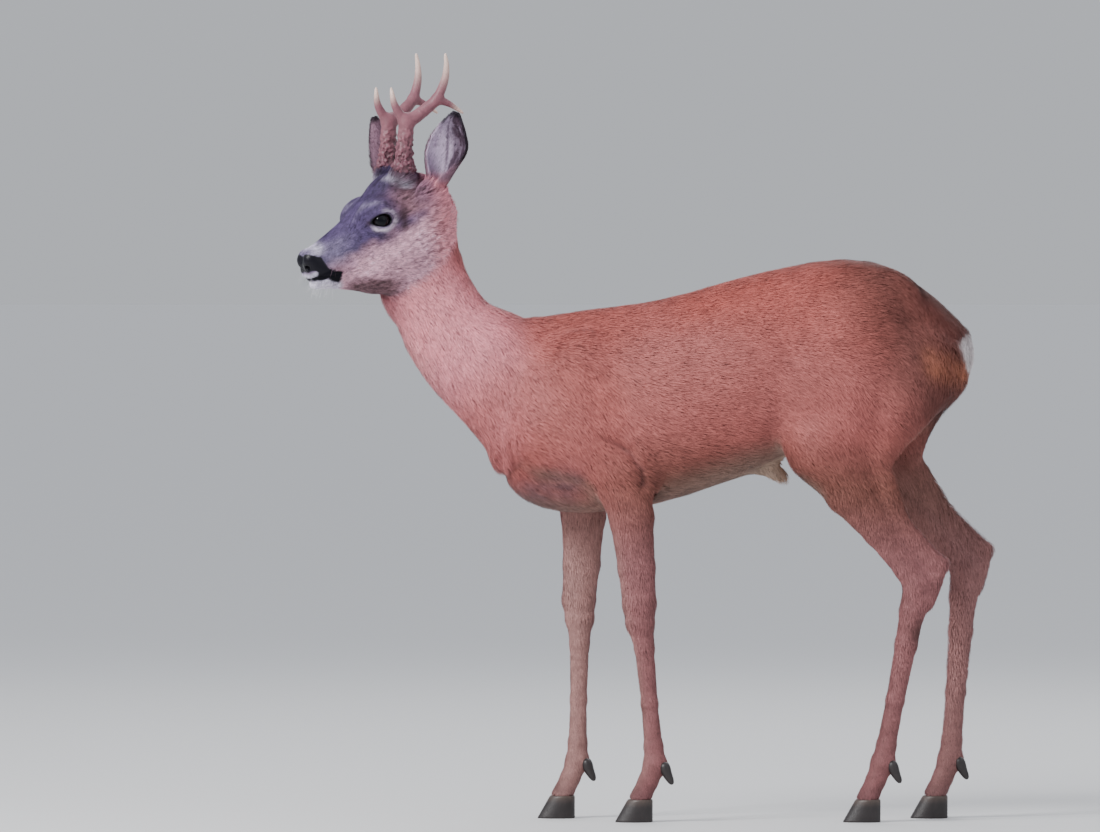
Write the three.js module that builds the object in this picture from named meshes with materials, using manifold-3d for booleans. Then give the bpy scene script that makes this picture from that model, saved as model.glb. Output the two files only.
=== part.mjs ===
// A standing roe buck (Capreolus capreolus) in its short summer coat, life size, as a still museum model.
// Millimetres, +Z up. The buck faces -X with its left side to -Y, and its hooves stand on z = 0.
// The flesh is one smooth field of named muscles and bones, netted region by region, so that neighbouring
// parts share one surface and are parted only by thin flat cuts. Hooves, antlers, ears and eyes are lofts.
import * as THREE from "three";
import Module from "manifold-3d";
import { mergeVertices } from "three/addons/utils/BufferGeometryUtils.js";

const wasm = await Module();
wasm.setup();

// ---------------------------------------------------------------- driving dimensions
const CUT_GAP = 0.3; // between the parts of one body
const SLIVER = 0.02; // corners lie on a grid this fine, so that none are nearly the same
const FAR_SIDE = 1; // +Y, the buck's right
const NEAR_SIDE = -1; // -Y, the buck's left

const FORE_CUT_Z = 400; // where the forelegs leave the trunk
const HIND_CUT_Z = 474; // where the hind legs leave the trunk
const HIND_CUT_X = 203; // just behind the sheath
const LEG_Y = 58; // a leg's distance from the middle
const FOOT_Y = 50;

const HEAD_YAW = THREE.MathUtils.degToRad(24); // the head looks a little to its left
const HEAD_PITCH = THREE.MathUtils.degToRad(25); // and its long axis slopes down to the nose
const HEAD_PIVOT = new THREE.Vector3(-267, -12, 817); // top of the neck, under the poll

const EYE = { along: 93.5, up: 13.5, side: 36, radius: 13.5 };

// Trunk: x, height of the back, height of the belly, half width.
const TRUNK = [
  [-176, 536, 470, 18],
  [-165, 602, 441, 42],
  [-145, 645, 421, 58],
  [-115, 663, 409, 68],
  [-75, 671, 404, 74],
  [-30, 677, 407, 80],
  [20, 684, 414, 88],
  [65, 694, 426, 95],
  [110, 707, 441, 98],
  [155, 719, 457, 97],
  [200, 729, 478, 91],
  [245, 737, 500, 84],
  [290, 736, 508, 80],
  [330, 713, 514, 75],
  [370, 688, 524, 66],
  [405, 666, 542, 53],
  [428, 650, 566, 36],
  [442, 628, 600, 8],
];
const TRUNK_EGG = 0.1; // how much narrower the back is than the belly

// Neck, in a frame that runs from behind the jaw down to the breast:
// distance, nape, throat, half width, shift in y.
const NECK_TOP = new THREE.Vector3(-285, 0, 740);
const NECK_SLOPE = Math.atan2(195, 165);
const NECK = [
  [-30, 46, -40, 26, -12],
  [0, 58, -66, 36, -11],
  [25, 50, -76, 39, -9],
  [49, 40, -80, 40, -6],
  [76, 34, -88, 43, -4],
  [105, 34, -94, 47, -2],
  [145, 53, -97, 54, 0],
  [196, 70, -95, 60, 0],
  [245, 56, -95, 58, 0],
  [280, 10, -97, 42, 0],
  [292, -30, -80, 14, 0],
];

// Head, in its own frame: along the head axis towards the nose, crown, jaw, half width.
const HEAD = [
  [-16, 16, -40, 20],
  [0, 38, -60, 34],
  [20, 50, -76, 39],
  [42, 58, -88, 40],
  [62, 59, -93, 38],
  [90, 47, -91, 33],
  [110, 38, -86, 29],
  [130, 31, -77, 26],
  [150, 26, -63, 23.5],
  [170, 21.5, -51, 22],
  [186, 17.5, -41, 21],
  [197, 12, -31, 18],
  [204, 3, -18, 12],
];

// Joints of each leg, as x and z; the near legs are the left ones.
const LEGS = {
  foreleg_left: {
    side: NEAR_SIDE,
    shoulder: [-140, 500],
    elbow: [-12, 468],
    knee: [7, 280],
    fetlock: [26, 76],
  },
  foreleg_right: {
    side: FAR_SIDE,
    shoulder: [-150, 498],
    elbow: [-66, 466],
    knee: [-72, 282],
    fetlock: [-76, 76],
  },
  hindleg_left: {
    side: NEAR_SIDE,
    hip: [312, 640],
    stifle: [243, 488],
    hock: [371, 318],
    heel: [401, 340],
    fetlock: [325, 78],
  },
  hindleg_right: {
    side: FAR_SIDE,
    hip: [325, 640],
    stifle: [290, 496],
    hock: [437, 336],
    heel: [463, 355],
    fetlock: [416, 78],
  },
};

const HOOF = { length: 50, width: 16.5, height: 30, cleft: 0.8, topLength: 0.66, heelAhead: 3 };
const DEWCLAW = { behind: 15.5, below: 12, apart: 10, drop: 15, radius: 7.5, tipRadius: 3.6 };
const JOINT_BELOW = { fore: 26, hind: 40 }; // the knee and hock stay with the part above the cut
const FETLOCK_ABOVE = 24; // and the fetlock with the foot

const TAIL = { place: [432, 0, 626], depth: 9, width: 14, height: 25 };

// Ears and antlers are placed in the head's frame: along the muzzle, across to the left, up from the axis.
const EAR = { width: 41, foot: 11, thickness: 3 };
const EARS = {
  ear_left: { foot: [-1, 36, 16], tip: [-50, 75, 101], opening: [-0.5, -0.86, 0.1], bow: -6 },
  ear_right: { foot: [6, -36, 14], tip: [0, -74, 118], opening: [-0.8, 0.6, 0.1], bow: 6 },
};

const ANTLER = {
  burr: [32, 27, 56],
  fork: [0, 29, 116],
  front: [[7, 28, 139], [1, 25, 162]],
  top: [[-26, 34, 117], [-46, 39, 124], [-64, 44, 141], [-74, 47, 158], [-79, 48, 174]],
  rear: [[-59, 41, 111], [-71.5, 42, 92]],
  burrRadius: 16.5,
  burrAt: 0.12,
  burrSpread: 0.09,
  pearl: 0.8,
  beamRadius: 10.5,
  forkRadius: 9,
  tineRadius: 6.5,
  tipRadius: 1.2,
};

// Cell sizes of the nets: coarse where the body is plain, fine on the head and the feet.
const CELLS = {
  trunk: [40, 31, 34],
  neck: [31, 25, 31],
  head: [12, 12, 12],
  forearm: [15, 12, 33],
  gaskin: [20, 15, 26],
  cannon: [12, 12, 28],
  foot: [9, 9, 12],
};

const SURFACES = {
  coat: { color: 0xb5613f, roughness: 0.85 },
  nose: { color: 0x17141a, roughness: 0.35 },
  eye: { color: 0x120d0c, roughness: 0.08 },
  ear: { color: 0x9a7f76, roughness: 0.85 },
  antler: { color: 0xa3786a, roughness: 0.6 },
  hoof: { color: 0x2a2523, roughness: 0.45 },
  tail: { color: 0xd9c2a8, roughness: 0.85 },
};

// ---------------------------------------------------------------- the field of the flesh
const { lerp, clamp, degToRad, smoothstep } = THREE.MathUtils;

// The smaller of two distances, rounded where they are closer than k.
function blend(a, b, k) {
  const h = Math.max(k - Math.abs(a - b), 0) / k;
  return Math.min(a, b) - (h * h * k) / 4;
}

// A row of numbers read smoothly from a table whose first column is the distance.
function readTable(table, s) {
  const last = table.length - 1;
  let i = 0;
  while (i < last - 1 && table[i + 1][0] < s) i += 1;
  const [before, from, to, after] = [i - 1, i, i + 1, i + 2].map((k) => table[clamp(k, 0, last)]);
  const span = to[0] - from[0];
  const h = clamp((s - from[0]) / span, 0, 1);
  return from.map((value, c) => {
    const slopeIn = ((to[c] - before[c]) / (to[0] - before[0] || span)) * span;
    const slopeOut = ((after[c] - value) / (after[0] - from[0] || span)) * span;
    const level = value * (1 + 2 * h) * (1 - h) ** 2 + to[c] * (3 - 2 * h) * h * h;
    return level + slopeIn * h * (1 - h) ** 2 - slopeOut * (1 - h) * h * h;
  });
}

// A body with egg-shaped sections along one axis: s along it, y across, t up.
function lofted(table, s, y, t, egg = 0) {
  const [start, end] = [table[0][0], table[table.length - 1][0]];
  const [, top, bottom, half, shift = 0] = readTable(table, clamp(s, start, end));
  const radius = (top - bottom) / 2;
  const up = t - (top + bottom) / 2;
  const across = y - shift;
  const width = half * (1 - egg * clamp(up / radius, -1, 1));
  const reach = Math.hypot(up, across);
  const share = Math.max(Math.hypot(up / radius, across / width), 1e-6);
  const d = reach - reach / share;
  const past = Math.max(start - s, s - end, 0);
  return past > 0 ? Math.hypot(Math.max(d, 0), past) : d;
}

// An ellipsoid whose long axes lie in the xz plane, turned about y by tilt.
function ellipsoid(x, y, z, [cx, cy, cz], [rx, ry, rz], tilt = 0) {
  const [dx, dy, dz] = [x - cx, y - cy, z - cz];
  const [c, s] = [Math.cos(tilt), Math.sin(tilt)];
  const [a, b] = [dx * c - dz * s, dx * s + dz * c];
  const near = Math.hypot(a / rx, dy / ry, b / rz);
  const slope = Math.hypot(a / rx ** 2, dy / ry ** 2, b / rz ** 2);
  return (near * (near - 1)) / Math.max(slope, 1e-9);
}

// A limb through stations of x, y, z, depth radius and side radius.
const LIMB_BLEND = 5;
function limb(x, y, z, stations) {
  let d = Infinity;
  for (let i = 1; i < stations.length; i += 1) {
    const [from, to] = [stations[i - 1], stations[i]];
    const [ex, ey, ez] = [to[0] - from[0], to[1] - from[1], to[2] - from[2]];
    const [dx, dy, dz] = [x - from[0], y - from[1], z - from[2]];
    const h = clamp((dx * ex + dy * ey + dz * ez) / (ex * ex + ey * ey + ez * ez), 0, 1);
    const depth = lerp(from[3], to[3], h);
    const side = lerp(from[4], to[4], h);
    const off = Math.hypot(dx - ex * h, dz - ez * h, ((dy - ey * h) * depth) / side);
    d = i === 1 ? off - depth : blend(d, off - depth, LIMB_BLEND);
  }
  return d;
}

const between = (a, b, h) => [lerp(a[0], b[0], h), lerp(a[1], b[1], h)];
const at = ([x, z], y, depth, side) => [x, y, z, depth, side];

// Forearm, knee, cannon, fetlock and pastern of a foreleg.
function forelegStations({ side, elbow, knee, fetlock }) {
  const y = side * LEG_Y;
  const foot = side * FOOT_Y;
  return [
    at([elbow[0] - 8, elbow[1] - 8], y, 38, 24),
    at(between(elbow, knee, 0.35), y, 31, 21),
    at(between(elbow, knee, 0.7), y, 25.5, 17),
    at([knee[0] - 2, knee[1] + 8], y, 23, 18),
    at([knee[0] - 1, knee[1] - 16], side * (LEG_Y - 1), 20, 16.5),
    at(between(knee, fetlock, 0.24), side * (LEG_Y - 2), 14, 11.5),
    at(between(knee, fetlock, 0.6), side * (LEG_Y - 5), 12, 10.5),
    at(between(knee, fetlock, 0.88), foot, 13.5, 12.5),
    at(fetlock, foot, 16.5, 15.5),
    at([fetlock[0] - 9, fetlock[1] - 22], foot, 13.5, 14.5),
    at([fetlock[0] - 20, fetlock[1] - 46], foot, 15.5, 16.5),
  ];
}

// Gaskin, hock, cannon, fetlock and pastern of a hind leg.
function hindlegStations({ side, stifle, hock, fetlock }) {
  const y = side * (LEG_Y + 2);
  const foot = side * FOOT_Y;
  return [
    at([stifle[0] + 4, stifle[1] + 4], side * (LEG_Y + 6), 44, 30),
    at(between(stifle, hock, 0.3), y, 36, 24),
    at(between(stifle, hock, 0.6), y, 25, 18),
    at(between(stifle, hock, 0.88), y, 20, 15.5),
    at([hock[0], hock[1] - 4], y, 21, 16),
    at(between(hock, fetlock, 0.16), y, 18, 13.5),
    at(between(hock, fetlock, 0.34), side * LEG_Y, 15.5, 12),
    at(between(hock, fetlock, 0.65), side * (LEG_Y - 4), 13, 11),
    at(between(hock, fetlock, 0.9), foot, 14, 12.5),
    at(fetlock, foot, 17, 15.5),
    at([fetlock[0] - 9, fetlock[1] - 22], foot, 13.5, 14.5),
    at([fetlock[0] - 20, fetlock[1] - 47], foot, 15.5, 16.5),
  ];
}

function foreleg(x, y, z, leg) {
  const { side, shoulder, elbow } = leg;
  const scapula = ellipsoid(x, y, z, [shoulder[0] + 48, side * 52, 572], [46, 24, 76], degToRad(24));
  const armMiddle = [(shoulder[0] + elbow[0]) / 2 + 4, side * 59, 505];
  const upperArm = ellipsoid(x, y, z, armMiddle, [78, 25, 48], degToRad(8));
  const point = ellipsoid(x, y, z, [shoulder[0] + 12, side * 50, shoulder[1]], [30, 24, 36]);
  const olecranon = ellipsoid(x, y, z, [elbow[0] + 8, side * 60, elbow[1] + 4], [15, 14, 20]);
  const arm = limb(x, y, z, leg.stations);
  return blend(blend(blend(scapula, upperArm, 30), blend(point, olecranon, 4), 24), arm, 22);
}

function hindleg(x, y, z, leg) {
  const { side, hip, stifle, hock, heel } = leg;
  const thighMiddle = [(hip[0] + stifle[0]) / 2 + 2, side * 58, 572];
  const thigh = ellipsoid(x, y, z, thighMiddle, [68, 36, 122], degToRad(14));
  const buttock = ellipsoid(x, y, z, [hip[0] + 54, side * 44, 576], [42, 34, 74], degToRad(24));
  const hamstring = limb(x, y, z, [
    at([hip[0] + 34, 548], side * 54, 38, 27),
    at([stifle[0] + 69, 474], side * 56, 21, 17),
    at(between(stifle, heel, 0.66), side * 59, 17, 9.5),
    at([heel[0] - 10, heel[1] + 3], side * 60, 15, 9),
    at(heel, side * 60, 10.5, 9.5),
    at([hock[0] + 12, hock[1] - 26], side * 60, 11, 9),
  ]);
  const patella = ellipsoid(x, y, z, [stifle[0] - 20, side * 66, stifle[1] + 2], [22, 20, 34], degToRad(-24));
  const flank = ellipsoid(x, y, z, [stifle[0] - 18, side * 64, stifle[1] + 62], [30, 20, 50], degToRad(-8));
  const shank = limb(x, y, z, leg.stations);
  const upper = blend(blend(thigh, buttock, 34), blend(patella, flank, 30), 34);
  return blend(blend(shank, hamstring, 12), upper, 26);
}

for (const [name, leg] of Object.entries(LEGS)) {
  leg.stations = name.startsWith("fore") ? forelegStations(leg) : hindlegStations(leg);
}

// The head's own frame: along the muzzle, across to either side, and up from the head axis.
const headAcross = new THREE.Vector3(Math.sin(HEAD_YAW), -Math.cos(HEAD_YAW), 0);
const headLevel = new THREE.Vector3(-Math.cos(HEAD_YAW), -Math.sin(HEAD_YAW), 0);
const upright = new THREE.Vector3(0, 0, 1);
const headAlong = headLevel.clone().multiplyScalar(Math.cos(HEAD_PITCH));
headAlong.addScaledVector(upright, -Math.sin(HEAD_PITCH));
const headUp = headLevel.clone().multiplyScalar(Math.sin(HEAD_PITCH));
headUp.addScaledVector(upright, Math.cos(HEAD_PITCH));

function headPoint(along, across, up) {
  const point = HEAD_PIVOT.clone().addScaledVector(headAlong, along);
  return point.addScaledVector(headAcross, across).addScaledVector(headUp, up);
}

function headField(x, y, z) {
  const offset = new THREE.Vector3(x, y, z).sub(HEAD_PIVOT);
  const [a, v, b] = [offset.dot(headAlong), Math.abs(offset.dot(headAcross)), offset.dot(headUp)];
  let d = lofted(HEAD, a, v, b, 0.16);
  d = blend(d, ellipsoid(a, v, b, [92, 28, 22], [26, 20, 21], degToRad(6)), 16); // orbit
  d = blend(d, ellipsoid(a, v, b, [58, 24, -34], [44, 17, 34], degToRad(-14)), 24); // cheek
  d = blend(d, ellipsoid(a, v, b, [38, 24, 46], [20, 17, 18]), 16); // foot of the antler
  d = blend(d, ellipsoid(a, v, b, [18, 40, 4], [24, 18, 26]), 22); // foot of the ear
  d = blend(d, ellipsoid(a, v, b, [191, 10, 2], [15, 12, 15]), 7); // nose
  d = blend(d, ellipsoid(a, v, b, [176, 11, -14], [26, 12, 17], degToRad(-8)), 10); // upper lip
  return blend(d, ellipsoid(a, v, b, [184, 3, -31], [21, 12, 10], degToRad(-6)), 7); // chin
}

function neckField(x, y, z) {
  const [dx, dz] = [x - NECK_TOP.x, z - NECK_TOP.z];
  const [c, s] = [Math.cos(NECK_SLOPE), Math.sin(NECK_SLOPE)];
  return lofted(NECK, dx * c - dz * s, y, dx * s + dz * c);
}

function flesh(x, y, z) {
  let d = lofted(TRUNK, x, y, z, TRUNK_EGG);
  d = blend(d, neckField(x, y, z), 34);
  d = blend(d, ellipsoid(x, Math.abs(y), z, [300, 40, 690], [70, 26, 40], degToRad(-4)), 36); // hip
  for (const [name, leg] of Object.entries(LEGS)) {
    d = blend(d, (name.startsWith("fore") ? foreleg : hindleg)(x, y, z, leg), 26);
  }
  d = blend(d, ellipsoid(x, y, z, [168, 0, 466], [34, 12, 13], degToRad(18)), 16); // sheath
  return blend(d, headField(x, y, z), 16);
}

// ---------------------------------------------------------------- meshes and solids
const vector = (x, y, z) => new THREE.Vector3(x, y, z);

function geometryOf(points, faces) {
  const geometry = new THREE.BufferGeometry();
  geometry.setAttribute("position", new THREE.Float32BufferAttribute(points.flat(), 3));
  geometry.setIndex(faces);
  return geometry;
}

function toSolid(geometry) {
  const bare = geometry.clone();
  bare.deleteAttribute("normal");
  bare.deleteAttribute("uv");
  const merged = mergeVertices(bare, 1e-4);
  const vertProperties = merged.attributes.position.array;
  const triVerts = new Uint32Array(merged.index.array);
  return new wasm.Manifold(new wasm.Mesh({ numProp: 3, vertProperties, triVerts }));
}

function toGeometry(solid) {
  const mesh = solid.getMesh();
  const points = [];
  for (let i = 0; i < mesh.numVert; i += 1) {
    const place = [...mesh.vertProperties.subarray(i * mesh.numProp, i * mesh.numProp + 3)];
    points.push(place.map((value) => Math.round(value / SLIVER) * SLIVER));
  }
  const merged = mergeVertices(geometryOf(points, [...mesh.triVerts]), SLIVER / 10);
  const corners = [...merged.index.array];
  const apart = (i) => new Set(corners.slice(i - (i % 3), i - (i % 3) + 3)).size === 3;
  merged.setIndex(corners.filter((_, i) => apart(i)));
  merged.computeVertexNormals();
  return merged;
}

// A field's slope at a point.
function slopeOf(field, [x, y, z], h = 0.25) {
  return [
    (field(x + h, y, z) - field(x - h, y, z)) / (2 * h),
    (field(x, y + h, z) - field(x, y - h, z)) / (2 * h),
    (field(x, y, z + h) - field(x, y, z - h)) / (2 * h),
  ];
}

// Slides a point down the slope of a field onto its surface, by no more than limit.
function ontoSurface(field, point, limit) {
  let [x, y, z] = point;
  for (let i = 0; i < 4; i += 1) {
    const slope = slopeOf(field, [x, y, z]);
    const steepness = Math.max(slope[0] ** 2 + slope[1] ** 2 + slope[2] ** 2, 0.05);
    const step = clamp(field(x, y, z) / steepness, -limit, limit);
    [x, y, z] = [x - slope[0] * step, y - slope[1] * step, z - slope[2] * step];
  }
  return [x, y, z];
}

// Where a grid square is inside at two opposite corners only, the nearer of the other two is taken in
// as well, so that no edge of the net is shared by four faces.
function joinDiagonals(values, strides) {
  const inner = values.length - strides[1] - strides[2] - 1;
  let changed = true;
  while (changed) {
    changed = false;
    for (let index = 0; index < inner; index += 1) {
      for (let axis = 0; axis < 3; axis += 1) {
        const [u, v] = [strides[axis], strides[(axis + 1) % 3]];
        const ring = [index, index + u, index + u + v, index + v];
        const inside = ring.map((corner) => values[corner] < 0);
        if (inside[0] !== inside[2] || inside[1] !== inside[3] || inside[0] === inside[1]) continue;
        const [a, b] = ring.filter((_, i) => !inside[i]);
        values[values[a] < values[b] ? a : b] = -SLIVER;
        changed = true;
      }
    }
  }
}

// A closed mesh of a field within a box: one vertex in each cell that the surface crosses, evened out and
// then brought onto the surface.
function netOver(field, low, high, cell, evenings = 3) {
  const counts = cell.map((size, i) => Math.ceil((high[i] - low[i]) / size) + 3);
  const place = (i, axis) => low[axis] + (i - 1) * cell[axis];
  const inBox = (p) => Math.max(...p.map((value, i) => Math.max(low[i] - value, value - high[i])));
  const strides = [1, counts[0], counts[0] * counts[1]];
  const values = new Float64Array(counts[0] * counts[1] * counts[2]);
  for (let k = 0; k < counts[2]; k += 1) {
    for (let j = 0; j < counts[1]; j += 1) {
      for (let i = 0; i < counts[0]; i += 1) {
        const p = [place(i, 0), place(j, 1), place(k, 2)];
        values[i + j * strides[1] + k * strides[2]] = Math.max(field(...p), inBox(p) + 1e-3);
      }
    }
  }
  joinDiagonals(values, strides);
  const corners = Array.from({ length: 8 }, (_, c) => [c & 1, (c >> 1) & 1, c >> 2]);
  const edges = [];
  corners.forEach((corner, c) => {
    [0, 1, 2].filter((axis) => corner[axis] === 0).forEach((axis) => edges.push([c, c | (1 << axis)]));
  });
  const points = [];
  const pointAt = new Map();
  for (let k = 0; k < counts[2] - 1; k += 1) {
    for (let j = 0; j < counts[1] - 1; j += 1) {
      for (let i = 0; i < counts[0] - 1; i += 1) {
        const index = i + j * strides[1] + k * strides[2];
        const at8 = corners.map(([a, b, c]) => values[index + a + b * strides[1] + c * strides[2]]);
        const crossed = edges.filter(([a, b]) => at8[a] < 0 !== at8[b] < 0);
        if (crossed.length === 0) continue;
        const sum = [0, 0, 0];
        crossed.forEach(([a, b]) => {
          const h = at8[a] / (at8[a] - at8[b]);
          [0, 1, 2].forEach((axis) => {
            sum[axis] += lerp(corners[a][axis], corners[b][axis], h) / crossed.length;
          });
        });
        pointAt.set(index, points.length);
        points.push([place(i + sum[0], 0), place(j + sum[1], 1), place(k + sum[2], 2)]);
      }
    }
  }
  const faces = [];
  const neighbours = points.map(() => new Set());
  for (let k = 1; k < counts[2] - 1; k += 1) {
    for (let j = 1; j < counts[1] - 1; j += 1) {
      for (let i = 1; i < counts[0] - 1; i += 1) {
        const index = i + j * strides[1] + k * strides[2];
        [0, 1, 2].forEach((axis) => {
          const [inside, insideNext] = [values[index] < 0, values[index + strides[axis]] < 0];
          if (inside === insideNext) return;
          const [u, v] = [strides[(axis + 1) % 3], strides[(axis + 2) % 3]];
          const quad = [index - u - v, index - v, index, index - u].map((cellAt) => pointAt.get(cellAt));
          quad.forEach((p, q) => {
            neighbours[p].add(quad[(q + 1) % 4]);
            neighbours[quad[(q + 1) % 4]].add(p);
          });
          const [a, b, c, d] = inside ? quad : quad.reverse();
          const span = (p, q) => Math.hypot(...points[p].map((value, m) => value - points[q][m]));
          faces.push(...(span(a, c) < span(b, d) ? [a, b, c, a, c, d] : [a, b, d, b, c, d]));
        });
      }
    }
  }
  const limit = Math.min(...cell) / 2;
  const free = points.map((p) => field(...p) > inBox(p) + limit);
  let smooth = points.map((p, i) => (free[i] ? ontoSurface(field, p, limit) : p));
  for (let round = 0; round < evenings; round += 1) {
    smooth = smooth.map((p, i) => {
      if (!free[i]) return p;
      const around = [...neighbours[i]];
      const mean = p.map((_, axis) => around.reduce((sum, n) => sum + smooth[n][axis], 0) / around.length);
      return ontoSurface(field, p.map((value, axis) => lerp(value, mean[axis], 0.5)), limit);
    });
  }
  return toSolid(geometryOf(smooth, faces));
}

// Everything on one side of a plane, less half of the cut.
function sideOf(point, normal) {
  const size = 2400;
  const box = new THREE.BoxGeometry(size, size, size).translate(0, 0, size / 2 + CUT_GAP / 2);
  box.applyQuaternion(new THREE.Quaternion().setFromUnitVectors(vector(0, 0, 1), normal.clone().normalize()));
  return toSolid(box.translate(point.x, point.y, point.z));
}

// A block between two corners, grown or shrunk all round.
function block(low, high, grow = 0) {
  const size = low.map((value, i) => high[i] - value + 2 * grow);
  const middle = low.map((value, i) => (high[i] + value) / 2);
  return toSolid(new THREE.BoxGeometry(...size).translate(...middle));
}

// A closed skin over rings of equally many points, with a middle point at each end.
function skinOver(rings) {
  const count = rings[0].length;
  const middle = (ring) => ring.reduce((sum, p) => sum.add(p), vector(0, 0, 0)).divideScalar(count);
  const points = [...rings.flat(), middle(rings[0]), middle(rings[rings.length - 1])];
  const [first, last] = [points.length - 2, points.length - 1];
  const faces = [];
  for (let j = 0; j < count; j += 1) {
    const next = (j + 1) % count;
    const end = (rings.length - 1) * count;
    faces.push(first, next, j, last, end + j, end + next);
    for (let i = 0; i < rings.length - 1; i += 1) {
      const [a, b] = [i * count + j, i * count + next];
      faces.push(a, b, b + count, a, b + count, a + count);
    }
  }
  const places = points.map((p) => p.toArray());
  const solid = toSolid(geometryOf(places, faces));
  return solid.volume() > 0 ? solid : toSolid(geometryOf(places, faces.reverse()));
}

// A horn along a smooth curve, with a radius for every share of its length.
function hornAlong(curvePoints, radiusAt, sections = 7, sectors = 6) {
  const curve = new THREE.CatmullRomCurve3(curvePoints, false, "centripetal");
  const frames = curve.computeFrenetFrames(sections);
  const rings = Array.from({ length: sections + 1 }, (_, i) => {
    const centre = curve.getPointAt(i / sections);
    return Array.from({ length: sectors }, (__, j) => {
      const turn = (2 * Math.PI * j) / sectors;
      const radius = radiusAt(i / sections, turn);
      const out = frames.normals[i].clone().multiplyScalar(Math.cos(turn) * radius);
      return centre.clone().add(out).addScaledVector(frames.binormals[i], Math.sin(turn) * radius);
    });
  });
  return skinOver(rings);
}

const root = new THREE.Group();
root.name = "roe_buck";

function addMesh(name, solid, surface) {
  const { color, roughness } = SURFACES[surface];
  const finish = new THREE.MeshStandardMaterial({ color, roughness, metalness: 0 });
  const mesh = new THREE.Mesh(toGeometry(solid), finish);
  mesh.name = name;
  root.add(mesh);
}

// ---------------------------------------------------------------- legs
const HALF_CUT = CUT_GAP / 2;
const legRegions = [];

function addLeg(name, leg) {
  const fore = name.startsWith("fore");
  const { side, fetlock } = leg;
  const joint = fore ? leg.knee : leg.hock;
  const top = fore ? FORE_CUT_Z : HIND_CUT_Z;
  const middle = fore ? (leg.elbow[0] + joint[0]) / 2 : (leg.stifle[0] + joint[0]) / 2;
  const half = fore ? 62 : 150;
  const region = fore
    ? [[middle - half, side > 0 ? 0 : -140, -40], [middle + half, side > 0 ? 140 : 0, top]]
    : [[HIND_CUT_X, side > 0 ? 0 : -140, -40], [520, side > 0 ? 140 : 0, top]];
  legRegions.push(block(...region, HALF_CUT));
  const own = block(...region, -HALF_CUT);
  const net = (floor, ceiling, cell) => {
    const low = [middle - half - 30, region[0][1] - 10, floor - 30];
    const high = [middle + half + 30, region[1][1] + 10, ceiling + 30];
    return netOver(flesh, low, high, cell).intersect(own);
  };
  const coronet = vector(0, 0, HOOF.height);
  const upward = vector(0, 0, 1);
  const downward = vector(0, 0, -1);
  const jointLine = vector(joint[0], 0, joint[1] - (fore ? JOINT_BELOW.fore : JOINT_BELOW.hind));
  const fetlockLine = vector(fetlock[0], 0, fetlock[1] + FETLOCK_ABOVE);
  const above = net(jointLine.z, top, fore ? CELLS.forearm : CELLS.gaskin);
  const below = net(HOOF.height, jointLine.z, CELLS.cannon).intersect(sideOf(jointLine, downward));
  const cannon = below.intersect(sideOf(fetlockLine, upward));
  const foot = below.intersect(sideOf(fetlockLine, downward)).intersect(sideOf(coronet, upward));
  addMesh(`${name}_${fore ? "forearm" : "gaskin"}`, above.intersect(sideOf(jointLine, upward)), "coat");
  addMesh(`${name}_cannon`, cannon, "coat");
  addMesh(`${name}_pastern`, foot, "coat");
  addHooves(name, leg);
}

// A cloven hoof: two claws with flat soles, blunt behind and pointed in front, and two dewclaws.
function addHooves(name, { side, fetlock }) {
  const [x, z] = fetlock;
  const foot = side * FOOT_Y;
  const coat = (...p) => flesh(...p) - 1;
  const footCoat = netOver(coat, [x - 42, foot - 40, 30], [x + 48, foot + 40, 130], CELLS.foot);
  for (const [which, hand] of [["inner", -side], ["outer", side]]) {
    const rings = [0, 0.45, 1].map((level) => clawRing(x, foot, hand, level));
    addMesh(`${name}_hoof_${which}`, skinOver(rings), "hoof");
    const middle = vector(x + DEWCLAW.behind, foot + hand * DEWCLAW.apart, z - DEWCLAW.below);
    const start = middle.clone().add(vector(-3, 0, 9));
    const tip = middle.clone().add(vector(6, hand * 2, -DEWCLAW.drop));
    const radiusAt = (s) => lerp(DEWCLAW.radius, DEWCLAW.tipRadius, s * s);
    const dewclaw = hornAlong([start, middle, tip], radiusAt, 2, 6);
    addMesh(`${name}_dewclaw_${which}`, dewclaw.subtract(footCoat), "hoof");
  }
}

// One level of a claw, from the sole up to just under the coronet.
function clawRing(x, foot, hand, level) {
  const height = (HOOF.height - CUT_GAP / 2) * level;
  const length = lerp(HOOF.length, HOOF.length * HOOF.topLength, level);
  const width = lerp(HOOF.width, HOOF.width * 0.95, level);
  const back = x - HOOF.heelAhead;
  const inner = foot + hand * HOOF.cleft;
  return Array.from({ length: 12 }, (_, j) => {
    const turn = (2 * Math.PI * j) / 12;
    const along = (1 - Math.cos(turn)) / 2;
    const swell = Math.max(Math.sin(turn), 0) ** 0.8 * (1 - 0.35 * along ** 3);
    const bulge = swell + 0.12 * Math.min(Math.sin(turn), 0);
    return vector(back - along * length, inner + hand * (0.14 + bulge * 0.86) * width, height);
  });
}

// ---------------------------------------------------------------- head, ears, eyes and antlers
function addEye(name, hand) {
  const centre = headPoint(EYE.along, hand * EYE.side, EYE.up);
  const ball = (radius) => {
    const sphere = new THREE.SphereGeometry(radius, 12, 7);
    return toSolid(sphere.translate(centre.x, centre.y, centre.z));
  };
  addMesh(name, ball(EYE.radius), "eye");
  return ball(EYE.radius + CUT_GAP);
}

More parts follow.
